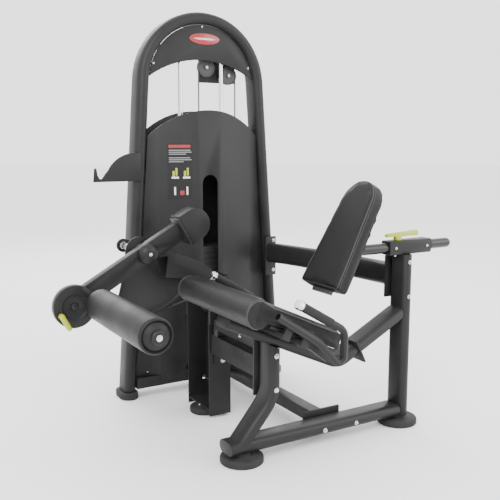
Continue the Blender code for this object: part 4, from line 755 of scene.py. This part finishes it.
seat = {"roll": Vector((-0.077, 0.564)), "rollR": 0.047, "pitch": math.radians(24.5), "top": 0.041,
        "bottom": -0.014,
        "length": 0.338, "half": 0.240, "voxel": 0.006, "boardEdge": 0.006, "pressure": 4.0, "cap": 0.006}
seatDown = Vector((math.cos(seat["pitch"]), 0, -math.sin(seat["pitch"])))
seatUp = Vector((math.sin(seat["pitch"]), 0, math.cos(seat["pitch"])))
rollAt = Vector((seat["roll"].x, 0, seat["roll"].y))


def seatSpot(distance, above, y):
    return rollAt + seatDown * distance + seatUp * above + Vector((0, y, 0))


def overSeatBoard(point):
    offset = point - rollAt
    return offset.dot(seatUp) - seat["bottom"] if offset.dot(seatDown) > 0.03 else 1.0


seatPad = cadCopy("seat_pad")
shrinkPad(seatPad, tuple(seatSpot(0.15, 0.010, 0)), (0.992, 0.985, 0.985))
swellPad(seatPad, seat, overSeatBoard)
settle(seatPad, "seatCushion", "blackVinyl", "frame", smoothAngle=80)
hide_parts("seat_pad")
for side in (-1, 1):
    for rowName, inset in (("outer", 0.0), ("inner", 0.010)):
        path = []
        for step in range(20):
            path.append(seatSpot(seat["length"] - 0.006 - (seat["length"] - 0.05) * step / 19, seat["top"],
                                 side * (seat["half"] - inset)))
        for step in range(1, 19):
            turn = math.radians(62 + 230 * step / 18)
            path.append(seatSpot(seat["rollR"] * math.cos(turn), seat["rollR"] * math.sin(turn),
                                 side * (seat["half"] - inset)))
        pipingOn(seatPad, f"seatPiping.{rowName}.{'near' if side < 0 else 'far'}", path,
                 0.0022 if inset == 0.0 else 0.0012, "frame",
                 closed=False)
print("seat pad ready")

back = {"foot": Vector((0.307, 0.580)), "lean": math.radians(29.4), "low": -0.006, "top": 0.411,
        "lowHalf": 0.113, "crownR": 0.088,
        "thick": 0.050, "voxel": 0.005, "boardEdge": 0.006, "pressure": 3.0, "cap": 0.003}
backUp = Vector((math.sin(back["lean"]), 0, math.cos(back["lean"])))
backIn = Vector((math.cos(back["lean"]), 0, -math.sin(back["lean"])))
backFoot = Vector((back["foot"].x, 0, back["foot"].y))


def backSpot(up, behind, y):
    return backFoot + backUp * up + backIn * behind + Vector((0, y, 0))


def overBackBoard(point):
    return back["thick"] - (point - backFoot).dot(backIn)


def backOutline(inset, behind):
    # up one side, over the crown and down the other
    count = 26
    crown = back["top"] - back["crownR"]
    start = back["low"] + 0.015
    path = []
    for step in range(15):
        half = back["lowHalf"] + (back["crownR"] - back["lowHalf"]) * step / 14 - inset
        path.append(backSpot(start + (crown - start) * step / 14, behind, -half))
    for step in range(1, count):
        turn = math.pi * step / count
        path.append(backSpot(crown + (back["crownR"] - inset) * math.sin(turn), behind,
                             -(back["crownR"] - inset) * math.cos(turn)))
    path += [Vector((point.x, -point.y, point.z)) for point in reversed(path[:15])]
    path += [backSpot(back["low"] + inset, behind,
                      (back["lowHalf"] - 0.012) * (1 - 2 * step / 10)) for step in range(11)]
    return path


backPad = cadCopy("backrest_pad")
shrinkPad(backPad, tuple(backSpot(0.2, 0.028, 0)), (0.986, 0.985, 0.990))
swellPad(backPad, back, overBackBoard)
settle(backPad, "backCushion", "blackVinyl", "backrest", smoothAngle=80)
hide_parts("backrest_pad")
pipingOn(backPad, "backPiping.front", backOutline(0.003, 0.0), 0.0020, "backrest")
pipingOn(backPad, "backPiping.inner", backOutline(0.0, 0.009), 0.0012, "backrest")
for side in (-1, 1):
    for number, up in enumerate((0.17, 0.22, 0.275, 0.345)):
        half = back["lowHalf"] + (back["crownR"] - back["lowHalf"]) * up / (back["top"] - back["crownR"])
        half = min(half, back["lowHalf"])
        if up > 0.32:
            half -= 0.006
        pleat = turnedPiece([(0.0015, -0.013), (0.0035, -0.009), (0.0048, -0.002), (0.0048, 0.002),
                             (0.0035, 0.009), (0.0015, 0.013)],
                            backSpot(up, back["thick"] - 0.0035, side * (half - 0.006)), backUp, 16)
        settle(pleat, f"backPleat.{'near' if side < 0 else 'far'}{number}", "blackVinyl", "backrest",
               smoothAngle=80)
board = {"half": 0.055, "behind": 0.030, "thick": 0.012, "out": 0.014, "in": 0.020, "corner": 0.004}
deselectAll()
bpy.ops.mesh.primitive_plane_add(size=1)
boardEnd = bpy.context.object
bpy.ops.object.mode_set(mode="EDIT")
bpy.ops.mesh.select_all(action="SELECT")
bpy.ops.transform.resize(value=(board["thick"], 2 * board["half"], 1))
bpy.ops.mesh.bevel(offset=board["corner"], segments=3, affect="VERTICES")
bpy.ops.mesh.select_all(action="SELECT")
bpy.ops.mesh.extrude_region_move(TRANSFORM_OT_translate={"value": (0, 0, board["out"] + board["in"])})
bpy.ops.mesh.select_all(action="SELECT")
bpy.ops.mesh.normals_make_consistent(inside=False)
bpy.ops.object.mode_set(mode="OBJECT")
boardEnd.rotation_euler = (0, back["lean"], 0)
boardEnd.location = backSpot(back["low"] - board["out"], board["behind"], 0)
settle(boardEnd, "backBoardEnd", "blackNylon", "backrest")
print("backrest ready")


# header badge and the instruction placard, both without lettering

badge = {"x": 0.265, "z": 1.491, "front": 0.7665, "halfWide": 0.070, "halfHigh": 0.0225, "rise": 0.0022}


def ovalPlate(name, width, height, rise, frontY, finish):
    deselectAll()
    bpy.ops.mesh.primitive_circle_add(vertices=64, radius=1, fill_type="NGON")
    piece = bpy.context.object
    bpy.ops.object.mode_set(mode="EDIT")
    bpy.ops.mesh.select_all(action="SELECT")
    bpy.ops.transform.resize(value=(width, height, 1))
    bpy.ops.mesh.extrude_region_move(TRANSFORM_OT_translate={"value": (0, 0, rise)})
    bpy.ops.mesh.inset(thickness=0.0012, depth=0.0006)
    bpy.ops.mesh.select_all(action="SELECT")
    bpy.ops.mesh.normals_make_consistent(inside=False)
    bpy.ops.object.mode_set(mode="OBJECT")
    piece.rotation_euler = (math.pi / 2, 0, 0)
    piece.location = (badge["x"], frontY, badge["z"])
    settle(piece, name, finish, "frame")


ovalPlate("badgeOval", badge["halfWide"], badge["halfHigh"], badge["rise"], badge["front"], "redEnamel")
ovalPlate("badgeStripe", badge["halfWide"] * 0.74, badge["halfHigh"] * 0.16, 0.0006,
          badge["front"] - badge["rise"] - 0.0005, "whitePrint")

panel = {"from": Vector((0.040, 0.745)), "to": Vector((0.198, 0.705))}
panelAlong = (panel["to"] - panel["from"]).normalized()
panelOut = Vector((panelAlong.y, -panelAlong.x))


def panelPatch(name, x0, x1, z0, z1, finish, out=0.0008, thick=0.0006):
    # a thin film on the slanted panel, its corners rounded
    startAt = panel["from"] + panelAlong * (x0 - panel["from"].x) / panelAlong.x
    endAt = panel["from"] + panelAlong * (x1 - panel["from"].x) / panelAlong.x
    middle = (startAt + endAt) / 2 + panelOut * out
    deselectAll()
    bpy.ops.mesh.primitive_plane_add(size=1)
    piece = bpy.context.object
    bpy.ops.object.mode_set(mode="EDIT")
    bpy.ops.mesh.select_all(action="SELECT")
    bpy.ops.transform.resize(value=((endAt - startAt).length, z1 - z0, 1))
    bpy.ops.mesh.bevel(offset=min(0.003, 0.3 * (z1 - z0), 0.3 * (x1 - x0)), segments=3, affect="VERTICES")
    bpy.ops.mesh.select_all(action="SELECT")
    bpy.ops.mesh.extrude_region_move(TRANSFORM_OT_translate={"value": (0, 0, thick)})
    bpy.ops.mesh.select_all(action="SELECT")
    bpy.ops.mesh.normals_make_consistent(inside=False)
    bpy.ops.object.mode_set(mode="OBJECT")
    piece.rotation_euler = (math.pi / 2, 0, math.atan2(panelAlong.y, panelAlong.x))
    piece.location = (middle.x, middle.y, (z0 + z1) / 2)
    return settle(piece, name, finish, "frame")


panelPatch("placardFilm", 0.075, 0.174, 0.835, 1.062, "charcoalPaint", out=0.0003, thick=0.0005)
panelPatch("placardHeading", 0.079, 0.168, 1.044, 1.056, "redEnamel")
for number, (z, width) in enumerate(((1.034, 0.088), (1.026, 0.092), (1.018, 0.070), (1.003, 0.086),
                                     (0.995, 0.092), (0.987, 0.060))):
    panelPatch(f"placardLine{number}", 0.080, 0.080 + width, z - 0.0018, z + 0.0018, "greyPrint")
for number, x in enumerate((0.090, 0.136)):
    panelPatch(f"placardFigure{number}", x, x + 0.030, 0.918, 0.926, "whitePrint")
    panelPatch(f"placardSeat{number}", x + 0.004, x + 0.013, 0.926, 0.950, "limePlastic")
    panelPatch(f"placardBack{number}", x + 0.016, x + 0.024, 0.930, 0.962, "limePlastic")
for number, (x, finish) in enumerate(((0.100, "whitePrint"), (0.124, "redEnamel"), (0.150, "whitePrint"))):
    panelPatch(f"placardNote{number}", x, x + (0.018 if number == 1 else 0.007), 0.850,
               0.884 if number != 1 else 0.868, finish)
print("badge and placard ready")


# weight plates: on each front edge a number mark, and a pin hole drawn as a near-black disc of painted shade

stack = {"x": 0.255, "front": 0.747, "low": 0.182, "plate": 0.0255, "resting": 11, "lifted": 5}
for number in range(stack["resting"] + stack["lifted"]):
    z = stack["low"] + stack["plate"] * (number + 0.5) + (0.0003 if number >= stack["resting"] else 0)
    body = "frame" if number < stack["resting"] else "weight_stack"
    if number != stack["resting"]:
        # painted shade: a flat near-black disc stands in for the dark inside of the pin hole
        holeShade = turnedPiece([(0.0068, 0), (0.0068, 0.0004), (0.0052, 0.0005), (0.0050, 0.0001)],
                           (stack["x"], stack["front"], z), "-y", 20)
        settle(holeShade, f"pinHoleShade{number}", "boreShadow", body)
    mark = turnedPiece([(0.0050, 0), (0.0050, 0.0003), (0.0044, 0.0005)],
                       (stack["x"] - 0.022, stack["front"], z), "-y", 20)
    settle(mark, f"plateMark{number}", "whitePrint", body)
low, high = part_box("selector_pin")
pinAt = (low + high) / 2
knob = turnedPiece([(0.0060, 0), (0.0062, 0.006), (0.0100, 0.0095), (0.0123, 0.014), (0.0125, 0.0165),
                    (0.0125, 0.0205), (0.0118, 0.0235),
                    (0.0095, 0.0262), (0.0060, 0.0276), (0.0020, 0.0280)],
                   (pinAt.x, low.y + 0.028, pinAt.z), "-y", 40)
settle(knob, "selectorKnob", "chromeSteel", "selector_pin")
nodes["selector_pin"].data.materials.clear()
nodes["selector_pin"].data.materials.append(made["chromeSteel"])
print("stack details ready")


# lift cable: the arc in the cam's groove moves with the arm, the straight run and the drop to the stem get no
# body, the rest stays

cable = {"inStem": 0.006, "parts": 24, "radius": 0.003, "pivot": Vector((-0.185, 0.680)), "camR": 0.243,
         "camY": 0.420, "from": -108.0, "sides": 4}


def camPoint(angle):
    turn = math.radians(angle)
    return Vector((cable["pivot"].x + cable["camR"] * math.cos(turn), cable["camY"],
                   cable["pivot"].y + cable["camR"] * math.sin(turn)))


def arcAround(centre, radius, start, end, steps, spread):
    # points of an arc; spread puts its two flat coordinates into space
    points = []
    for step in range(steps + 1):
        turn = math.radians(start + (end - start) * step / steps)
        points.append(spread(centre[0] + radius * math.cos(turn), centre[1] + radius * math.sin(turn)))
    return points


def cableRun(name, points):
    curve = bpy.data.curves.new(name, "CURVE")
    curve.dimensions = "3D"
    curve.bevel_depth = cable["radius"]
    curve.bevel_resolution = cable["sides"]
    curve.use_fill_caps = True
    spline = curve.splines.new("POLY")
    spline.points.add(len(points) - 1)
    for target, point in zip(spline.points, points):
        target.co = (*point, 1)
    run = bpy.data.objects.new(name, curve)
    bpy.context.scene.collection.objects.link(run)
    selectOnly(run)
    bpy.ops.object.convert(target="MESH")
    return bpy.context.object


def boxMiddle(node):
    low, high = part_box(node)
    return (low + high) / 2


post = boxMiddle("post_pulley")
riser = boxMiddle("riser_pulley")
topRight, topLeft = boxMiddle("top_pulley_right"), boxMiddle("top_pulley_left")
wheelR = {"post": 0.042, "turn": 0.030, "riser": 0.026, "top": 0.035}
run = Vector((post.x, post.z)) - cable["pivot"]
heading = math.degrees(math.atan2(run.y, run.x) + math.asin((cable["camR"] + wheelR["post"]) / run.length))
lowZ, stackY = 0.108, 0.805
postX = post.x + wheelR["post"]


def inCamPlane(x, z):
    return Vector((x, cable["camY"], z))


def inStackPlane(x, z):
    return Vector((x, stackY, z))


def acrossPost(y, z):
    return Vector((postX, y, z))


def nearFloor(x, y):
    return Vector((x, y, lowZ))


rest = arcAround((post.x, post.z), wheelR["post"], 90 + heading, 0, 16, inCamPlane)
straightEnd = rest[0].copy()
rest += arcAround((cable["camY"] + wheelR["post"], lowZ + wheelR["post"]), wheelR["post"], 180, 270, 14,
                  acrossPost)
rest += arcAround((postX + wheelR["turn"], stackY - wheelR["turn"]), wheelR["turn"], 180, 90, 14, nearFloor)
rest += arcAround((riser.x, riser.z), wheelR["riser"], 270, 360, 14, inStackPlane)
across = topRight - topLeft
crown = 90 + math.degrees(math.atan2(across.z, across.x))
rest += arcAround((topRight.x, topRight.z), wheelR["top"], 0, crown, 12, inStackPlane)
rest += arcAround((topLeft.x, topLeft.z), wheelR["top"], crown, 180, 16, inStackPlane)
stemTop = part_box("selector_stem")[1].z
fixedRun = cableRun("cableRun", rest)
settle(fixedRun, "cableRun", "cableSheath", "frame", smoothAngle=70)
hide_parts("lift_cable")
topExit = rest[-1]
dropEnd = Vector((topExit.x, topExit.y, stemTop - cable["inStem"]))
dropRun = cableRun("cableDrop", [topExit.lerp(dropEnd,
                                              step / cable["parts"]) for step in range(cable["parts"] + 1)])
settle(dropRun, "cableDrop", "cableSheath", None, smoothAngle=70)
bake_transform(dropRun)
camTurn = heading - 90 - cable["from"]
camRun = cableRun("cableOnCam", [camPoint(cable["from"] + camTurn * step / 14) for step in range(15)])
settle(camRun, "cableOnCam", "cableSheath", "leg_arm", smoothAngle=70)
camEdge = camPoint(heading - 90)
spanRun = cableRun("cableSpan", [camEdge.lerp(straightEnd,
                                              step / cable["parts"]) for step in range(cable["parts"] + 1)])
settle(spanRun, "cableSpan", "cableSheath", None, smoothAngle=70)
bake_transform(spanRun)
print("cable ready")
